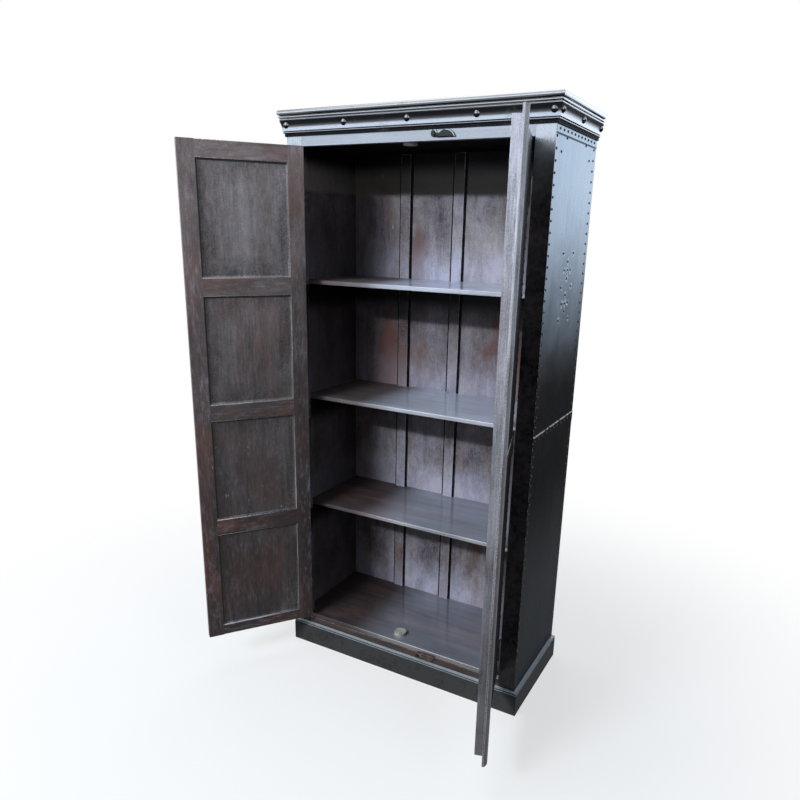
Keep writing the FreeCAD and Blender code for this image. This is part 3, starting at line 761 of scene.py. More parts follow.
def lacquered_iron(name, shine_heights, hang=straight, highlight_line=None, shade_line=None, streaks="Z",
                   glint=PLAIN_GLINT, gleam=1.0, film=IRON_DULL, haze_and_sheen=0.0):
    """Black iron, polished above the heights given and dull below, rubbed bare, with painted light where asked."""
    material, wire = new_finish(name)
    wear_and_highlight, _, tone = read_marks(wire)
    place, moved = board_place(wire, hang, tone)
    ripple = moved.scaled(SHEET_RIPPLE[streaks]).noise(1.0, 2.0, 0.5, 0.4)
    brush = moved.scaled(SHEET_BRUSH[streaks]).noise(1.0, 4.0, 0.6)
    spots = moved.noise(70.0, 4.0, 0.6)
    cloud = moved.noise(6.0, 4.0, 0.6)
    height = place.axis("Z")
    shine = (height + (cloud - 0.5) * 0.2).step(*shine_heights)
    shine = shine * (0.35 + shine * 0.65) + height.step(*FOOT_HEIGHTS) * FOOT_SHINE
    rubbed = wear_and_highlight * place.noise(210.0, 3.0, 0.6).step(0.50, 0.58)
    # A pale line at the lap is a painted highlight, coloured as bare metal.
    if highlight_line is not None:
        off = wire.math("ABSOLUTE", height - highlight_line)
        rubbed = (rubbed + off.step(*FINE_LINE) * spots.step(0.38, 0.5)).clamp()
    # A line under the band loses its shine, as painted shade.
    if shade_line is not None:
        off = wire.math("ABSOLUTE", height - shade_line)
        shine = shine * (1.0 - off.step(*FINE_LINE) * 0.8)
    filmy = cloud.step(0.35, 0.65) * 0.5 + spots.step(0.35, 0.65) * 0.5
    colour = rubbed.tint(filmy.tint(IRON_BLACK, film), IRON_BARE_AND_SHEEN)
    # The tops of the stiles are made paler as a painted sheen.
    if haze_and_sheen:
        colour = (height.step(*SHEEN_TOP) * (0.4 + cloud * 1.2) * haze_and_sheen).tint(colour, IRON_BARE_AND_SHEEN)
    relief = ripple + brush * 0.06 + spots * 0.06
    both = {"Base Color": colour, "Normal": relief.bump(0.55, 0.0016), "Metallic": rubbed * 0.7}
    polished = wire.node("BsdfPrincipled", {}, {
        **both, "Roughness": 0.20 + brush * 0.16, "IOR": 1.75, "Specular IOR Level": gleam,
        "Specular Tint": glint})
    dull = wire.node("BsdfPrincipled", {}, {
        **both, "Roughness": 0.42 + spots * 0.25, "Specular IOR Level": 0.003})
    return finished(material, shine.blend(dull, polished))


SIDE_SHINE = (1.00, 1.74)
STILE_SHINE = (1.715, 1.79)
FRIEZE_SHINE = (1.5, 1.7)
LIP_DROP = 0.0015
BAND_DROP = 0.002
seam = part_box("lower_sheet_right")[1].z
band_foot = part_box("band_sheets")[0].z
# The sides get a painted highlight at the lap and painted shade under the band.
side_iron = lacquered_iron("side_sheet_iron", SIDE_SHINE, highlight_line=seam - LIP_DROP,
                           shade_line=band_foot - BAND_DROP, glint=COLD_GLINT)
# The stiles get a painted sheen at the top.
stile_iron = lacquered_iron("stile_sheet_iron", STILE_SHINE, gleam=0.80, film=IRON_BROWN, haze_and_sheen=0.18)
frieze_iron = lacquered_iron("frieze_sheet_iron", FRIEZE_SHINE, streaks="X", gleam=0.70)
# The doors get the same painted highlight at the lap.
door_iron = {side: lacquered_iron(f"{side}_door_sheet_iron", SIDE_SHINE, hang, highlight_line=seam - LIP_DROP,
                                  glint=COLD_GLINT, gleam=0.6)
             for side, hang in hangs.items()}
print("lacquer shines from", SIDE_SHINE, "m on the sides; the seam is at", round(seam, 3))

# %% [markdown]
# The mouldings are wood under the same black lacquer, rubbed thin in spots and dull underneath as
# painted shade. The dull parts could be marked face by face. The way a surface looks decides
# instead, so that the shine turns off softly round every bead, and the studs of the cornice share it.

# %% Black lacquer
LACQUER = (0.012, 0.0125, 0.0140, 1.0)
LACQUER_THIN = (0.060, 0.060, 0.066, 1.0)
PLINTH_LACQUER = (0.052, 0.052, 0.053, 1.0)
PLINTH_THIN = (0.080, 0.078, 0.075, 1.0)
LACQUER_HIGHLIGHT = (0.560, 0.610, 0.650, 1.0)
BEAD_UNDERSIDE = (-0.45, -0.90)
COVE_UNDERSIDE = (-0.08, -0.30)
PLINTH_UNDERSIDE = (0.95, 0.85)
STUD_UNDERSIDE = (0.30, -0.25)


def spotted(pattern, share):
    """A mask of spots, which cover more the larger the share is."""
    return pattern.step(0.62 - share * 0.3, 0.74 - share * 0.3)


def black_lacquer(name, thin_share, underside, coat, lacquer=LACQUER, undercoat=LACQUER_THIN, pits=0.5):
    """Old black lacquer over wood, rubbed through in spots. Faces that look down are dull, as painted shade."""
    material, wire = new_finish(name)
    wear_and_highlight, dirt_and_shade, _ = read_marks(wire)
    place = object_place(wire)
    cloud = place.noise(14.0, 5.0, 0.6)
    spots = place.noise(120.0, 4.0, 0.65)
    rubbed = spotted(cloud * 0.6 + spots * 0.4, thin_share) * 0.7
    colour = rubbed.tint(lacquer, undercoat)
    # Marked faces, which are the plinth's lines, take a painted highlight.
    colour = (wear_and_highlight * (0.5 + spots * 0.7)).clamp().tint(colour, LACQUER_HIGHLIGHT)
    both = {"Base Color": colour, "Normal": (cloud * 0.6 + spots * pits).bump(0.35, 0.0008)}
    polished = wire.node("BsdfPrincipled", {}, {
        **both, "Roughness": 0.22 + spots * 0.22, "Specular IOR Level": 0.5,
        "Coat Weight": 1.0 - rubbed * 0.6, "Coat Roughness": 0.13, "Coat IOR": coat})
    dull = wire.node("BsdfPrincipled", {}, {**both, "Roughness": 0.6, "Specular IOR Level": 0.02})
    # Faces that look down, and marked faces, are dull, as painted shade.
    painted_shade = (surface_normal(wire).axis("Z").step(*underside) + dirt_and_shade).clamp()
    return finished(material, painted_shade.blend(polished, dull))


crown_black = black_lacquer("crown_black", 0.25, BEAD_UNDERSIDE, 2.05)
cove_black = black_lacquer("cove_black", 0.25, COVE_UNDERSIDE, 1.75, pits=2.6)
plinth_black = black_lacquer("plinth_black", 0.75, PLINTH_UNDERSIDE, 1.7, PLINTH_LACQUER, PLINTH_THIN)
stud_iron = black_lacquer("stud_iron", 0.15, STUD_UNDERSIDE, 2.4)
print("black finishes:", [finish.name for finish in (crown_black, cove_black, plinth_black, stud_iron)])

# %% [markdown]
# Nails, hinges and turn-buttons are plain iron, and the lower button has rusted. The stops are painted
# cream. Each has one colour with spots of a second. The sheets' finish could serve here too, but these
# pieces are the size of a fingertip, too small for its streaks to show, so a short one is enough.

# %% Plain iron
NAIL_BLACK = (0.012, 0.0125, 0.014, 1.0)
NAIL_BARE = (0.20, 0.21, 0.23, 1.0)
HINGE_DARK = (0.045, 0.040, 0.038, 1.0)
HINGE_WORN = (0.16, 0.14, 0.13, 1.0)
BUTTON_DARK = (0.022, 0.025, 0.026, 1.0)
BUTTON_HIGHLIGHT = (0.85, 0.88, 0.90, 1.0)
RUST_DARK = (0.026, 0.016, 0.013, 1.0)
RUST_RED = (0.200, 0.105, 0.075, 1.0)
CREAM_DARK = (0.30, 0.285, 0.24, 1.0)
CREAM_PALE = (0.52, 0.50, 0.43, 1.0)


def plain_iron(name, deep, light, share, rough, metal=0.0, gloss=0.5):
    """Iron with a second colour in spots: bare metal, rust or the paler parts of a paint."""
    material, wire = new_finish(name)
    wear_and_highlight = read_marks(wire)[0]
    place = object_place(wire)
    cloud = place.noise(60.0, 4.0, 0.6)
    spots = place.noise(420.0, 4.0, 0.65)
    # Marked faces take the second colour too; on the buttons and pivots it is a painted highlight.
    mask = (spotted(cloud * 0.5 + spots * 0.5, share) + wear_and_highlight * 0.6).clamp()
    return finished(material, wire.node("BsdfPrincipled", {}, {
        "Base Color": mask.tint(deep, light), "Roughness": rough + spots * 0.2, "Metallic": metal,
        "Normal": (cloud + spots * 0.5).bump(0.4, 0.0006), "Specular IOR Level": gloss}))


nail_iron = plain_iron("nail_iron", NAIL_BLACK, NAIL_BARE, 0.15, 0.30, gloss=0.18)
hinge_iron = plain_iron("hinge_iron", HINGE_DARK, HINGE_WORN, 0.5, 0.42, metal=0.4)
button_iron = plain_iron("button_iron", BUTTON_DARK, BUTTON_HIGHLIGHT, 0.0, 0.30, gloss=0.10)
rusty_iron = plain_iron("rusty_iron", RUST_DARK, RUST_RED, 0.45, 0.45)
stop_cream = plain_iron("stop_cream", CREAM_DARK, CREAM_PALE, 0.6, 0.5)
print("finishes so far:", len(bpy.data.materials))

# %% [markdown]
# The carcass boards are plain timber. Shelves and floor run across, the sides and stiles stand upright.
# All edges could be bevelled alike, but those that hands and goods rub against have become rounder than
# the others, and the shelves are pale along the front, from wear and a painted sheen.

# %% Carcass boards
ARRIS = 0.0012
WORN_ARRIS = 0.0022
FRONT_WEAR_AND_SHEEN = 0.55

for side in ("left", "right"):
    aged(f"side_board_{side}", wall_wood, ARRIS)
    aged(f"front_stile_{side}", wall_wood, ARRIS)
for node in ("frieze_rail", "bottom_rail", "top_board"):
    aged(node, rail_wood, ARRIS)
aged("ceiling_board", ceiling_wood, ARRIS)
for node, finish in shelf_woods.items():
    aged(node, finish, WORN_ARRIS, front=FRONT_WEAR_AND_SHEEN)
aged("floor_board", floor_wood, WORN_ARRIS, front=0.0)

# %% [markdown]
# Four boards close the back, and battens cover their joints. Painted shadow and grime darken a strip
# beside each batten, and behind, where there are no battens, the joints show as grooves. Four loose boards
# could be bevelled one by one. But they touch, so their merged copy is one shape, and where two boards meet,
# an edge has too many faces for a bevel. Those inner faces are taken out, and strips and grooves are sliced
# into what is left.

# %% Back boards
BATTEN_SHADE = 0.9
BATTEN_WEAR = 0.8
SHADOW_AND_GRIME_STRIPS = (0.0095, 0.005)
JOINT_GROOVE = 0.002
BOARD_STEP = 0.38
REARWARD = 0.1
RIGHT = Vector((1, 0, 0))


def joined_boards(shape):
    """Take out the faces where boards touch, and return the places of these joints."""
    inner = [face for face in shape.faces
             if abs(face.normal.x) > FACING and any(len(edge.link_faces) > 2 for edge in face.edges)]
    joints = sorted({round(face.calc_center_median().x, 5) for face in inner})
    bmesh.ops.delete(shape, geom=inner, context="FACES")
    return joints


def shift_tones(shape, joints):
    """Give each board a tone of its own behind, where the tone sets how much bloom it has."""
    layer = shape.loops.layers.float_color[MARKS]
    for face in shape.faces:
        board = sum(face.calc_center_median().x > joint for joint in joints)
        for loop in face.loops if face.normal.y > REARWARD else ():
            worn, dirt_and_shade, tone, bloom = loop[layer]
            loop[layer] = (worn, dirt_and_shade, (tone + board * BOARD_STEP) % 1.0, bloom)


def back_boards():
    """The four boards, with painted shadow and grime beside each batten and a groove at each joint behind."""
    shape = solid_copy("back_boards")
    joints = joined_boards(shape)
    worn = ease(shape, ARRIS)
    strips = [strip for low, high in spans_of("back_battens", 0)
              for strip in ((low - SHADOW_AND_GRIME_STRIPS[0], low), (high, high + SHADOW_AND_GRIME_STRIPS[1]))]
    cuts = {edge for strip in strips for edge in strip}
    cuts |= {joint + aside for joint in joints for aside in (-JOINT_GROOVE, 0.0, JOINT_GROOVE)}
    for place in sorted(cuts):
        slice_at(shape, place, RIGHT)
    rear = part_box("back_boards")[1].y - 2 * ARRIS
    for vert in shape.verts:
        if vert.co.y > rear and any(abs(vert.co.x - joint) < MERGE for joint in joints):
            vert.co.y -= JOINT_GROOVE
    shape.normal_update()
    shadowed_and_grimy = {face for face in shape.faces
             if face.normal.y < 0 and any(low < face.calc_center_median().x < high for low, high in strips)}
    shadowed_and_grimy |= {face for face in shape.faces if face.normal.y > REARWARD
              and any(abs(face.calc_center_median().x - joint) < JOINT_GROOVE for joint in joints)}
    wear_and_highlight = {face: 1.0 for face in worn if face.is_valid}
    mark(shape, "back_boards", wear_and_highlight, dirt_and_shade_on(shadowed_and_grimy, BATTEN_SHADE))
    shift_tones(shape, joints)
    return stand_for(shape, "back_boards", back_wood)


def back_battens():
    """The battens over the joints, with painted shade on their flanks."""
    shape = solid_copy("back_battens")
    worn = ease(shape, WORN_ARRIS)
    shaded_flanks = {face for face in shape.faces if abs(face.normal.x) > FACING}
    mark(shape, "back_battens", dict.fromkeys(worn, BATTEN_WEAR), dirt_and_shade_on(shaded_flanks, BATTEN_SHADE))
    return stand_for(shape, "back_battens", back_wood)


print("back boards:", len(back_boards().data.polygons), "faces")
print("battens:", len(back_battens().data.polygons), "faces")

# %% [markdown]
# A door is a frame of stiles and rails with thin panels loose in its grooves. Only the edges round the
# panels and round the whole leaf are open to wear; the joints between stile and rail are tight, and a bevel
# of all edges would open them. So a stile is first cut across where each rail meets it, and the lengths
# that face a rail stay sharp. The ledges beside the panels carry painted highlights, and painted shade
# darkens the undersides of the rails, the ledge of the meeting stile and the outside of the closing strip
# on the right door.

# %% Door frames
RAILS = ("bottom_rail", "middle_rails", "top_rail")
STILES = ("hinge_stile", "meeting_stile")
LEDGE_WEAR_AND_HIGHLIGHT = 0.75
INNER_BLOOM = 0.42
STRIP_SHADE = 0.9
STRIP_TURN = 0.4


def rail_spans(side):
    """The lowest and highest point of each rail of a door."""
    return sorted(span for part in RAILS for span in spans_of(f"{side}_door_{part}", 2))


def leaf_frame(side):
    """The turn from a door's own axes, and the middle of its width there."""
    turn = hangs[side].matrix()
    low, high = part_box(f"{side}_door_panels")
    return turn, turn.inverted() @ ((low + high) / 2)


def leaf_copy(node, turn):
    """A copy of a door's solid in the door's own axes."""
    shape = solid_copy(node)
    bmesh.ops.transform(shape, matrix=turn.inverted(), verts=shape.verts)
    return shape


def leaf_member(side, part, finish):
    """A stile or a rail, worn along its open edges, with painted highlights on ledges and shade where sheltered.
    """
    node = f"{side}_door_{part}"
    turn, middle = leaf_frame(side)
    spans = rail_spans(side)
    shape = leaf_copy(node, turn)
    centre = sum((vert.co for vert in shape.verts), Vector()) / len(shape.verts)
    inward = 1.0 if centre.x < middle.x else -1.0
    if part in STILES:
        for place in sorted({height for span in spans for height in span}):
            slice_at(shape, place, UP)

    def open_edge(edge):
        ends = [vert.co for vert in edge.verts]
        along = (ends[1] - ends[0]).normalized()
        spot = (ends[0] + ends[1]) / 2
        if part in RAILS:
            return abs(along.x) > FACING
        if abs(along.z) < FACING or (spot.x - centre.x) * inward < 0:
            return True
        return not any(low < spot.z < high for low, high in spans)

    rounds = set(ease(shape, WORN_ARRIS, 2, open_edge))
    shape.normal_update()
    wear_and_highlight = {}
    shaded = set()
    for face in shape.faces:
        face.smooth = face in rounds
        ledge = face.normal.z > FACING if part in RAILS else face.normal.x * inward > FACING
        below = part in RAILS and face.normal.z < -FACING
        if face in rounds:
            wear_and_highlight[face] = 1.0
        # Rail undersides and the meeting stile's ledge get painted shade; other ledges a painted highlight.
        elif below or face.normal.y < -FACING or (ledge and part == "meeting_stile"):
            shaded.add(face)
        elif ledge:
            wear_and_highlight[face] = LEDGE_WEAR_AND_HIGHLIGHT
    inner = [face for face in shape.faces if face.normal.y > FACING] if finish is meeting_wood else ()
    mark(shape, f"{side}_door", wear_and_highlight, dirt_and_shade_on(shaded), dict.fromkeys(inner, INNER_BLOOM))
    bmesh.ops.transform(shape, matrix=turn, verts=shape.verts)
    return stand_for(shape, node, finish)


for side in hangs:
    for part in STILES:
        pale = side == "right" and part == "meeting_stile"
        leaf_member(side, part, meeting_wood if pale else door_upright[side])
    for part in RAILS:
        leaf_member(side, part, door_crosswise[side])
# Painted shade darkens the outside of the closing strip.
outside = hangs["right"].matrix().to_3x3() @ Vector((0, -1, 0))
rounded("closing_strip", meeting_wood, ARRIS,
        dirt_and_shade=lambda loop: STRIP_SHADE * max(0.0, loop.vert.normal.dot(outside) - STRIP_TURN))
print("rails of the left door at", [tuple(round(value, 3) for value in span) for span in rail_spans("left")])

# %% [markdown]
# Dirt and old polish gather on a panel along the frame, most of all on the side where the doors meet, and
# dust lies at its foot and by the hinges. A rim could come from noise, but it has to follow the frame. So
# each broad face is inset three times: once for the tongue that is hidden in the groove, and twice for
# rings whose corners carry a line, of painted shadow by the top rail and the meeting stile and of dust with
# a painted highlight elsewhere, and then a rim that fades inwards.

# %% Door panels
SHADE_AND_DUST_LINE = 0.006
LINE_DUST_AND_HIGHLIGHT = 0.72
DIRT_RING = 0.065
RING_DUST = {"top": 0.0, "foot": 0.18, "meeting": 0.0, "hinge": 0.25}
RING_DIRT = {"top": 0.05, "foot": 0.36, "meeting": 0.66, "hinge": 0.56}
SHADOWED_SIDES = ("top", "meeting")


def inset(shape, faces, thickness):
    """Inset faces by an even border, and return the border."""
    made = bmesh.ops.inset_individual(shape, faces=faces, thickness=thickness, depth=0.0,
                                      use_even_offset=True)
    return made["faces"]


def extent(faces, axis):
    """How far faces reach along an axis."""
    places = [vert.co[axis] for face in faces for vert in face.verts]
    return max(places) - min(places)


def door_panels(side):
    """The four panels of a door, with a line of painted shadow and highlight and a rim along the frame."""
    node = f"{side}_door_panels"
    turn, middle = leaf_frame(side)
    shape = leaf_copy(node, turn)
    meeting = 1.0 if middle.x > 0 else -1.0
    tongue = max(vert.co.z for vert in shape.verts) - rail_spans(side)[-1][0]
    dirt_and_shade = {}
    wear_and_highlight = {}

    def sides_of(off):
        return "meeting" if off.x * meeting > 0 else "hinge", "top" if off.z > 0 else "foot"

    for group in list(islands(shape)):
        broad = sorted(group, key=lambda face: -face.calc_area())[:2]
        heart = sum((face.calc_center_median() for face in broad), Vector()) / len(broad)
        inset(shape, broad, tongue)
        width, tall = extent(broad, 0), extent(broad, 2)
        line = inset(shape, broad, SHADE_AND_DUST_LINE)
        inner = {vert for face in broad for vert in face.verts}
        for face in line + inset(shape, broad, DIRT_RING):
            for vert in inner.intersection(face.verts):
                beside, above = sides_of(vert.co - heart)
                dirt_and_shade[face, vert] = (RING_DIRT[beside] + RING_DIRT[above]) / 2
                wear_and_highlight[face, vert] = (RING_DUST[beside] + RING_DUST[above]) / 2
        # The line is painted shadow on the top and meeting sides, and dust with a painted highlight on the others.
        for face in line:
            off = face.calc_center_median() - heart
            beside, above = sides_of(off)
            painted_shade = (beside if abs(off.x) / width > abs(off.z) / tall else above) in SHADOWED_SIDES
            wear_and_highlight[face] = 0.0 if painted_shade else LINE_DUST_AND_HIGHLIGHT
            for vert in face.verts:
                dirt_and_shade[face, vert] = 1.0 if painted_shade else 0.0
    mark(shape, node, wear_and_highlight, lambda loop: dirt_and_shade.get((loop.face, loop.vert), 0.0))
    bmesh.ops.transform(shape, matrix=turn, verts=shape.verts)
    for face in shape.faces:
        face.smooth = False
    return stand_for(shape, node, door_broad[side])


for side in hangs:
    print(side, "door panels:", len(door_panels(side).data.polygons), "faces")

# %% [markdown]
# The iron sheets are flat, and the lower one laps over the upper one. They could be given dents, but the
# ripples in their finish already bend the reflections. So the sheets keep their shape, and only their rims
# are softened. The lip at the lap gets a painted highlight from the finish, coloured as bare metal.

# %% Iron sheets
SHEET_RIM = 0.0003

for side in ("left", "right"):
    aged(f"upper_sheet_{side}", side_iron, SHEET_RIM, 1)
    aged(f"lower_sheet_{side}", side_iron, SHEET_RIM, 1)
    aged(f"stile_sheet_{side}", stile_iron, SHEET_RIM, 1)
    aged(f"{side}_door_sheets", door_iron[side], SHEET_RIM, 1)
aged("frieze_sheet", frieze_iron, SHEET_RIM, 1)
aged("band_sheets", side_iron, SHEET_RIM, 1)

# %% [markdown]
# The cornice and the plinth were run by hand, so they are never quite straight. A bump could shade that,
# but would not bend their outlines. So the copies are sliced along their length, and each corner sinks in
# by a little smooth noise, never out past the solid. Bright lines on the plinth are painted highlights, and
# the studs in the cornice swell from their middles.

# %% Mouldings
SLICE = 0.035
WOBBLE = 0.0007
WOBBLE_SCALE = 9.0
LEVEL = 0.95
FILLET = 0.008
PLINTH_BOARD = 0.072
PLINTH_BEAD = 0.0055
STUD_SWELL = 1.28
LEDGE_HIGHLIGHT = 1.0
LOWER_HIGHLIGHT = 0.55
BEAD_TOP = 0.1
BACK = Vector((0, 1, 0))


def slices(low, high):
    count = max(1, round((high - low) / SLICE))
    return [low + (high - low) * step / count for step in range(1, count)]


def plinth_highlights(face):
    """The plinth gets painted highlights on top and along its lower bead."""
    height = face.calc_center_median().z - PLINTH_BOARD
    if height > PLINTH_BEAD:
        return LEDGE_HIGHLIGHT if face.normal.z > FACING else 0.0
    return LOWER_HIGHLIGHT if height > 0.0 and face.normal.z > BEAD_TOP else 0.0


def run_moulding(node, finish, axis, dull_height=0.0, rubbed=lambda face: 0.0):
    """A moulding, dull up to a height as painted shade, with painted highlight lines."""
    shape = solid_copy(node)
    low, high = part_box(node)
    for place in slices(low[axis], high[axis]):
        slice_at(shape, place, (RIGHT, BACK)[axis])
    shape.normal_update()
    for vert in shape.verts:
        sink = 0.5 - 0.5 * noise.noise(vert.co * WOBBLE_SCALE)
        if abs(vert.normal.z) < LEVEL and low[axis] + MERGE < vert.co[axis] < high[axis] - MERGE:
            vert.co -= vert.normal * min(1.0, max(0.0, sink)) * WOBBLE
    # Faces up to the dull height are marked for painted shade.
    shaded_faces = {face for face in shape.faces if face.calc_center_median().z < low.z + dull_height}
    mark(shape, node, {face: rubbed(face) for face in shape.faces}, dirt_and_shade_on(shaded_faces))
    return smooth(stand_for(shape, node, finish))


for side, axis in (("front", 0), ("left", 1), ("right", 1)):
    run_moulding(f"crown_{side}", crown_black, axis)
    run_moulding(f"cove_{side}", cove_black, axis, FILLET)
    run_moulding(f"plinth_{side}", plinth_black, axis, PLINTH_BOARD, plinth_highlights)
studs = rounded("cornice_studs", stud_iron)
shape = bmesh.new()
shape.from_mesh(studs.data)
for group in islands(shape):
    verts = list({vert for face in group for vert in face.verts})
    bmesh.ops.scale(shape, vec=Vector((1, 1, 1)) * STUD_SWELL, verts=verts,
                    space=Matrix.Translation(-group_middle(group)))
shape.to_mesh(studs.data)
shape.free()
print("mouldings sliced every", SLICE, "m")

# %% [markdown]
# There are more than five hundred nails. Each could be a ball, but half of it would be hidden, and every
# face counts five hundred times. So an arc of four points is spun once into a dome of three rings, and the
# dome is set wherever the frame has a nail, a little askew, as a hammer leaves it.

# %% Nails
DOME_RINGS = 3
DOME_SIDES = 12
DOME_RISE = 0.62
NAIL_TILT = 0.10
NAIL_SPREAD = 0.06


def dome_mesh():
    """A unit dome: rim radius 1, with its flat back open on the sheet."""
    shape = bmesh.new()
    angles = [math.pi / 2 * ring / DOME_RINGS for ring in range(DOME_RINGS + 1)]
    points = [shape.verts.new((math.cos(a), 0.0, math.sin(a) * DOME_RISE)) for a in angles]
    arc = [shape.edges.new(pair) for pair in zip(points, points[1:])]
    bmesh.ops.spin(shape, geom=points + arc, axis=(0, 0, 1), cent=(0, 0, 0), angle=math.tau,
                   steps=DOME_SIDES, use_merge=True)
    bmesh.ops.remove_doubles(shape, verts=shape.verts, dist=MERGE)
    bmesh.ops.recalc_face_normals(shape, faces=shape.faces)
    return as_mesh(shape, "dome")


def steady(places):
    """Places in an order that is the same on every run."""
    return sorted(places, key=lambda place: tuple(round(value, 4) for value in place[0]))


def nail_places(node):
    """The middle of each nail's flat back, the way it points, and its radius."""
    shape = solid_copy(node)
    places = []
    for group in islands(shape):
        back = max(group, key=lambda face: face.calc_area())
        middle = back.calc_center_median()
        radius = max((vert.co - middle).length for vert in back.verts)
        places.append((middle.copy(), -back.normal.copy(), radius))
    shape.free()
    return steady(places)


def cluster(unit, places, seed, tilt, spread, wear_and_highlight=0.0):
    """Copies of a unit shape, each turned, a little askew and a little smaller than its place allows."""
    draw = random.Random(seed)
    shape = bmesh.new()
    for middle, outward, radius in places:
        lean = Vector(draw.uniform(-tilt, tilt) for axis in range(3))
        turn = UP.rotation_difference((outward + lean).normalized()).to_matrix().to_4x4()
        turn = turn @ Matrix.Rotation(draw.uniform(0.0, math.tau), 4, UP)
        size = radius * (1.0 - draw.uniform(0.0, spread))
        first = len(shape.verts)
        shape.from_mesh(unit)
        shape.verts.ensure_lookup_table()
        bmesh.ops.transform(shape, verts=shape.verts[first:],
                            matrix=Matrix.Translation(middle) @ turn @ Matrix.Scale(size, 4))
    mark(shape, seed, dict.fromkeys(shape.faces, wear_and_highlight))
    return shape


dome = dome_mesh()
for node in ("side_nails_left", "side_nails_right", "left_door_nails", "right_door_nails"):
    places = nail_places(node)
    shape = cluster(dome, places, node, NAIL_TILT, NAIL_SPREAD)
    stand_for(shape, node, nail_iron, "_domed").data.shade_smooth()
    print(node, len(places))
bpy.data.meshes.remove(dome)

# %% [markdown]
# Round the nails of the ornament on each side the lacquer has been rubbed through. The sheet's finish
# could find these places by their coordinates, at the cost of a mask for every nail. Flat discs with the
# same finish, marked as worn and set behind the domes, show the same rings.

# %% Rubbed rings
ORNAMENT_MARGIN = 0.25
ORNAMENT_ENDS = 0.1
RING_LIFT = 0.00015
RING_SIZE = 3.6
RING_SPREAD = 0.3


def ornament_places(side):
    """The nails in the middle of an upper sheet, each with the place of the rubbed ring around it."""
    low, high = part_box(f"upper_sheet_{side}")
    margin = (high.y - low.y) * ORNAMENT_MARGIN
    for middle, outward, radius in nail_places(f"side_nails_{side}"):
        between = seam + ORNAMENT_ENDS < middle.z < band_foot - ORNAMENT_ENDS
        if between and low.y + margin < middle.y < high.y - margin:
            yield middle + outward * RING_LIFT, outward, radius * RING_SIZE


shape = bmesh.new()
bmesh.ops.create_circle(shape, cap_ends=True, segments=DOME_SIDES, radius=1.0)
disc = as_mesh(shape, "disc")
for side in ("left", "right"):
    places = list(ornament_places(side))
    rings = cluster(disc, places, f"rings_{side}", 0.0, RING_SPREAD, 1.0)
    ride_with(rings, f"ornament_rings_{side}", side_iron, f"upper_sheet_{side}")
    print("ornament on the", side, "side:", len(places), "nails")
bpy.data.meshes.remove(disc)

# %% [markdown]
# The small iron comes last: hinge leaves and pins, the two turn-buttons with their pivots, and the round
# stops. A turn-button has an outline of many short edges, on which a bevel would come out far too small.
# Its front is inset instead and the old rim pushed back, which leaves a chamfer, with a painted
# highlight where it faces up.

# %% Hinges, turn-buttons and stops
BUTTON_CHAMFER = 0.0024
HIGHLIGHT_UP = 0.2
HIGHLIGHT_SIDE = -0.05
PIVOT_ROUND = 0.0016
STOP_ROUND = 0.0045
ROUND_STEPS = 3


def turn_button(node, finish):
    """A cast button, chamfered all round its front, with a painted highlight on the upper chamfer."""
    shape = solid_copy(node)
    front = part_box(node)[0].y + MERGE
    faces = [face for face in shape.faces if all(vert.co.y < front for vert in face.verts)]
    made = bmesh.ops.inset_region(shape, faces=faces, thickness=BUTTON_CHAMFER, depth=0.0,
                                  use_even_offset=True)
    rim = made["faces"]
    kept = {vert for face in faces for vert in face.verts}
    for vert in {vert for face in rim for vert in face.verts} - kept:
        vert.co.y += BUTTON_CHAMFER
    shape.normal_update()
    highlit = [face for face in rim if face.normal.z > HIGHLIGHT_UP and face.normal.x > HIGHLIGHT_SIDE]
    mark(shape, node, dict.fromkeys(highlit, 1.0))
    return stand_for(shape, node, finish)


for node in ("hinge_frame_leaves", "left_door_hinge_leaves", "right_door_hinge_leaves", "hinge_pins"):
    rounded(node, hinge_iron)
turn_button("upper_turn_button", button_iron)
turn_button("lower_turn_button", rusty_iron)
# The pivots' rounded rims take the pale button colour as a painted highlight.
rounded("turn_button_pivots", button_iron, PIVOT_ROUND, ROUND_STEPS)
rounded("door_stops", stop_cream, STOP_ROUND, ROUND_STEPS)

# %% [markdown]
# Three slotted screws hold each hinge leaf. A slot could be cut with a Boolean, which leaves untidy faces.
# Here a head is a low drum, two cuts across it mark off the slot, and the slot is inset downwards. The
# heads stand a hair proud of the leaf, too little to touch the other leaf.

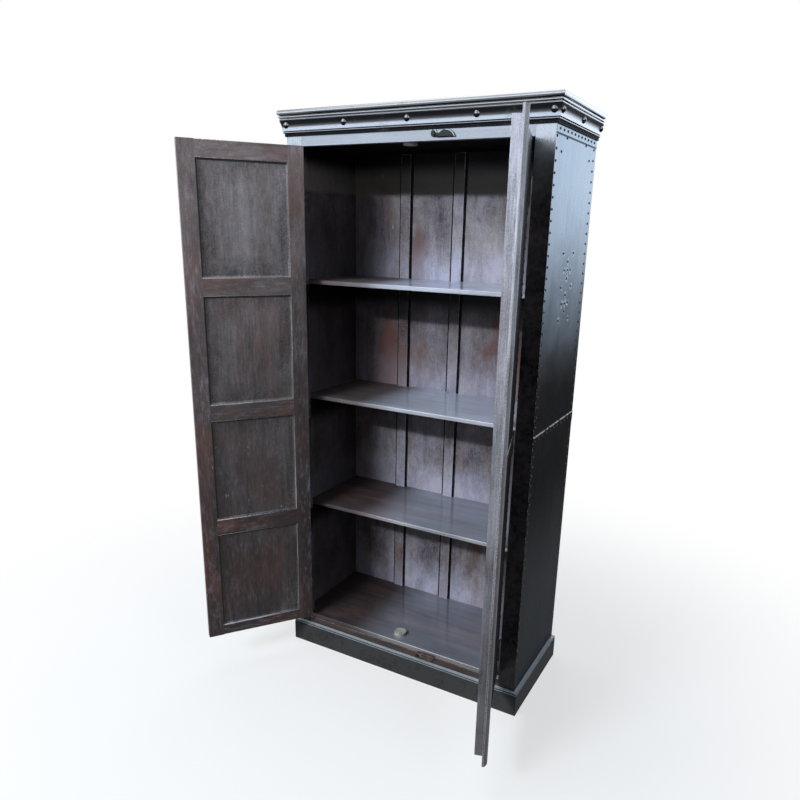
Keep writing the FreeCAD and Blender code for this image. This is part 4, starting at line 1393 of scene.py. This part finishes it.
# %% Hinge screws
SCREW_RADIUS = 0.0032
SCREW_TALL = 0.10
SCREW_TAPER = 0.92
SCREW_SIDES = 16
SCREW_PROUD = 0.00015
SCREW_SPREAD = 0.05
SCREW_END = 0.013
SLOT_HALF = 0.16
SLOT_RIM = 0.02
SLOT_DEPTH = 0.8


def screw_mesh():
    """A unit screw head, radius 1, with its top at height 0."""
    shape = bmesh.new()
    bmesh.ops.create_cone(shape, cap_ends=True, cap_tris=False, segments=SCREW_SIDES, radius1=1.0,
                          radius2=SCREW_TAPER, depth=SCREW_TALL,
                          matrix=Matrix.Translation((0, 0, -SCREW_TALL / 2)))
    for aside in (-SLOT_HALF, SLOT_HALF):
        slice_at(shape, aside, BACK)
    slot = [face for face in shape.faces
            if face.normal.z > FACING and abs(face.calc_center_median().y) < SLOT_HALF]
    bmesh.ops.inset_individual(shape, faces=slot, thickness=SLOT_RIM, depth=-SCREW_TALL * SLOT_DEPTH)
    return as_mesh(shape, "screw")


def screw_places(node, hang, inward):
    """Three places on each leaf, on the face that looks across the gap of the shut door."""
    turn = hang.matrix()
    leaves = leaf_copy(node, turn)
    leaves.normal_update()
    places = []
    for group in islands(leaves):
        toward = (-1.0 if group_middle(group).x > 0 else 1.0) * inward
        plates = [face for face in group if face.normal.x * toward > FACING]
        spots = [vert.co for vert in max(plates, key=lambda face: face.calc_area()).verts]
        low, high = (pick(spot.z for spot in spots) for pick in (min, max))
        near, far = (pick(spot.y for spot in spots) for pick in (min, max))
        out = Vector((toward, 0, 0))
        for height in (low + SCREW_END, (low + high) / 2, high - SCREW_END):
            spot = Vector((spots[0].x, (near + far) / 2, height)) + out * SCREW_PROUD
            places.append((turn @ spot, turn.to_3x3() @ out, SCREW_RADIUS))
    leaves.free()
    return steady(places)


screw = screw_mesh()
for node, hang, inward in (("hinge_frame_leaves", straight, 1.0),
                           ("left_door_hinge_leaves", hangs["left"], -1.0),
                           ("right_door_hinge_leaves", hangs["right"], -1.0)):
    places = screw_places(node, hang, inward)
    screws = cluster(screw, places, node, 0.0, SCREW_SPREAD)
    ride_with(screws, node.replace("leaves", "screws"), hinge_iron, node)
    print(node, len(places), "screws")
bpy.data.meshes.remove(screw)

# %% [markdown]
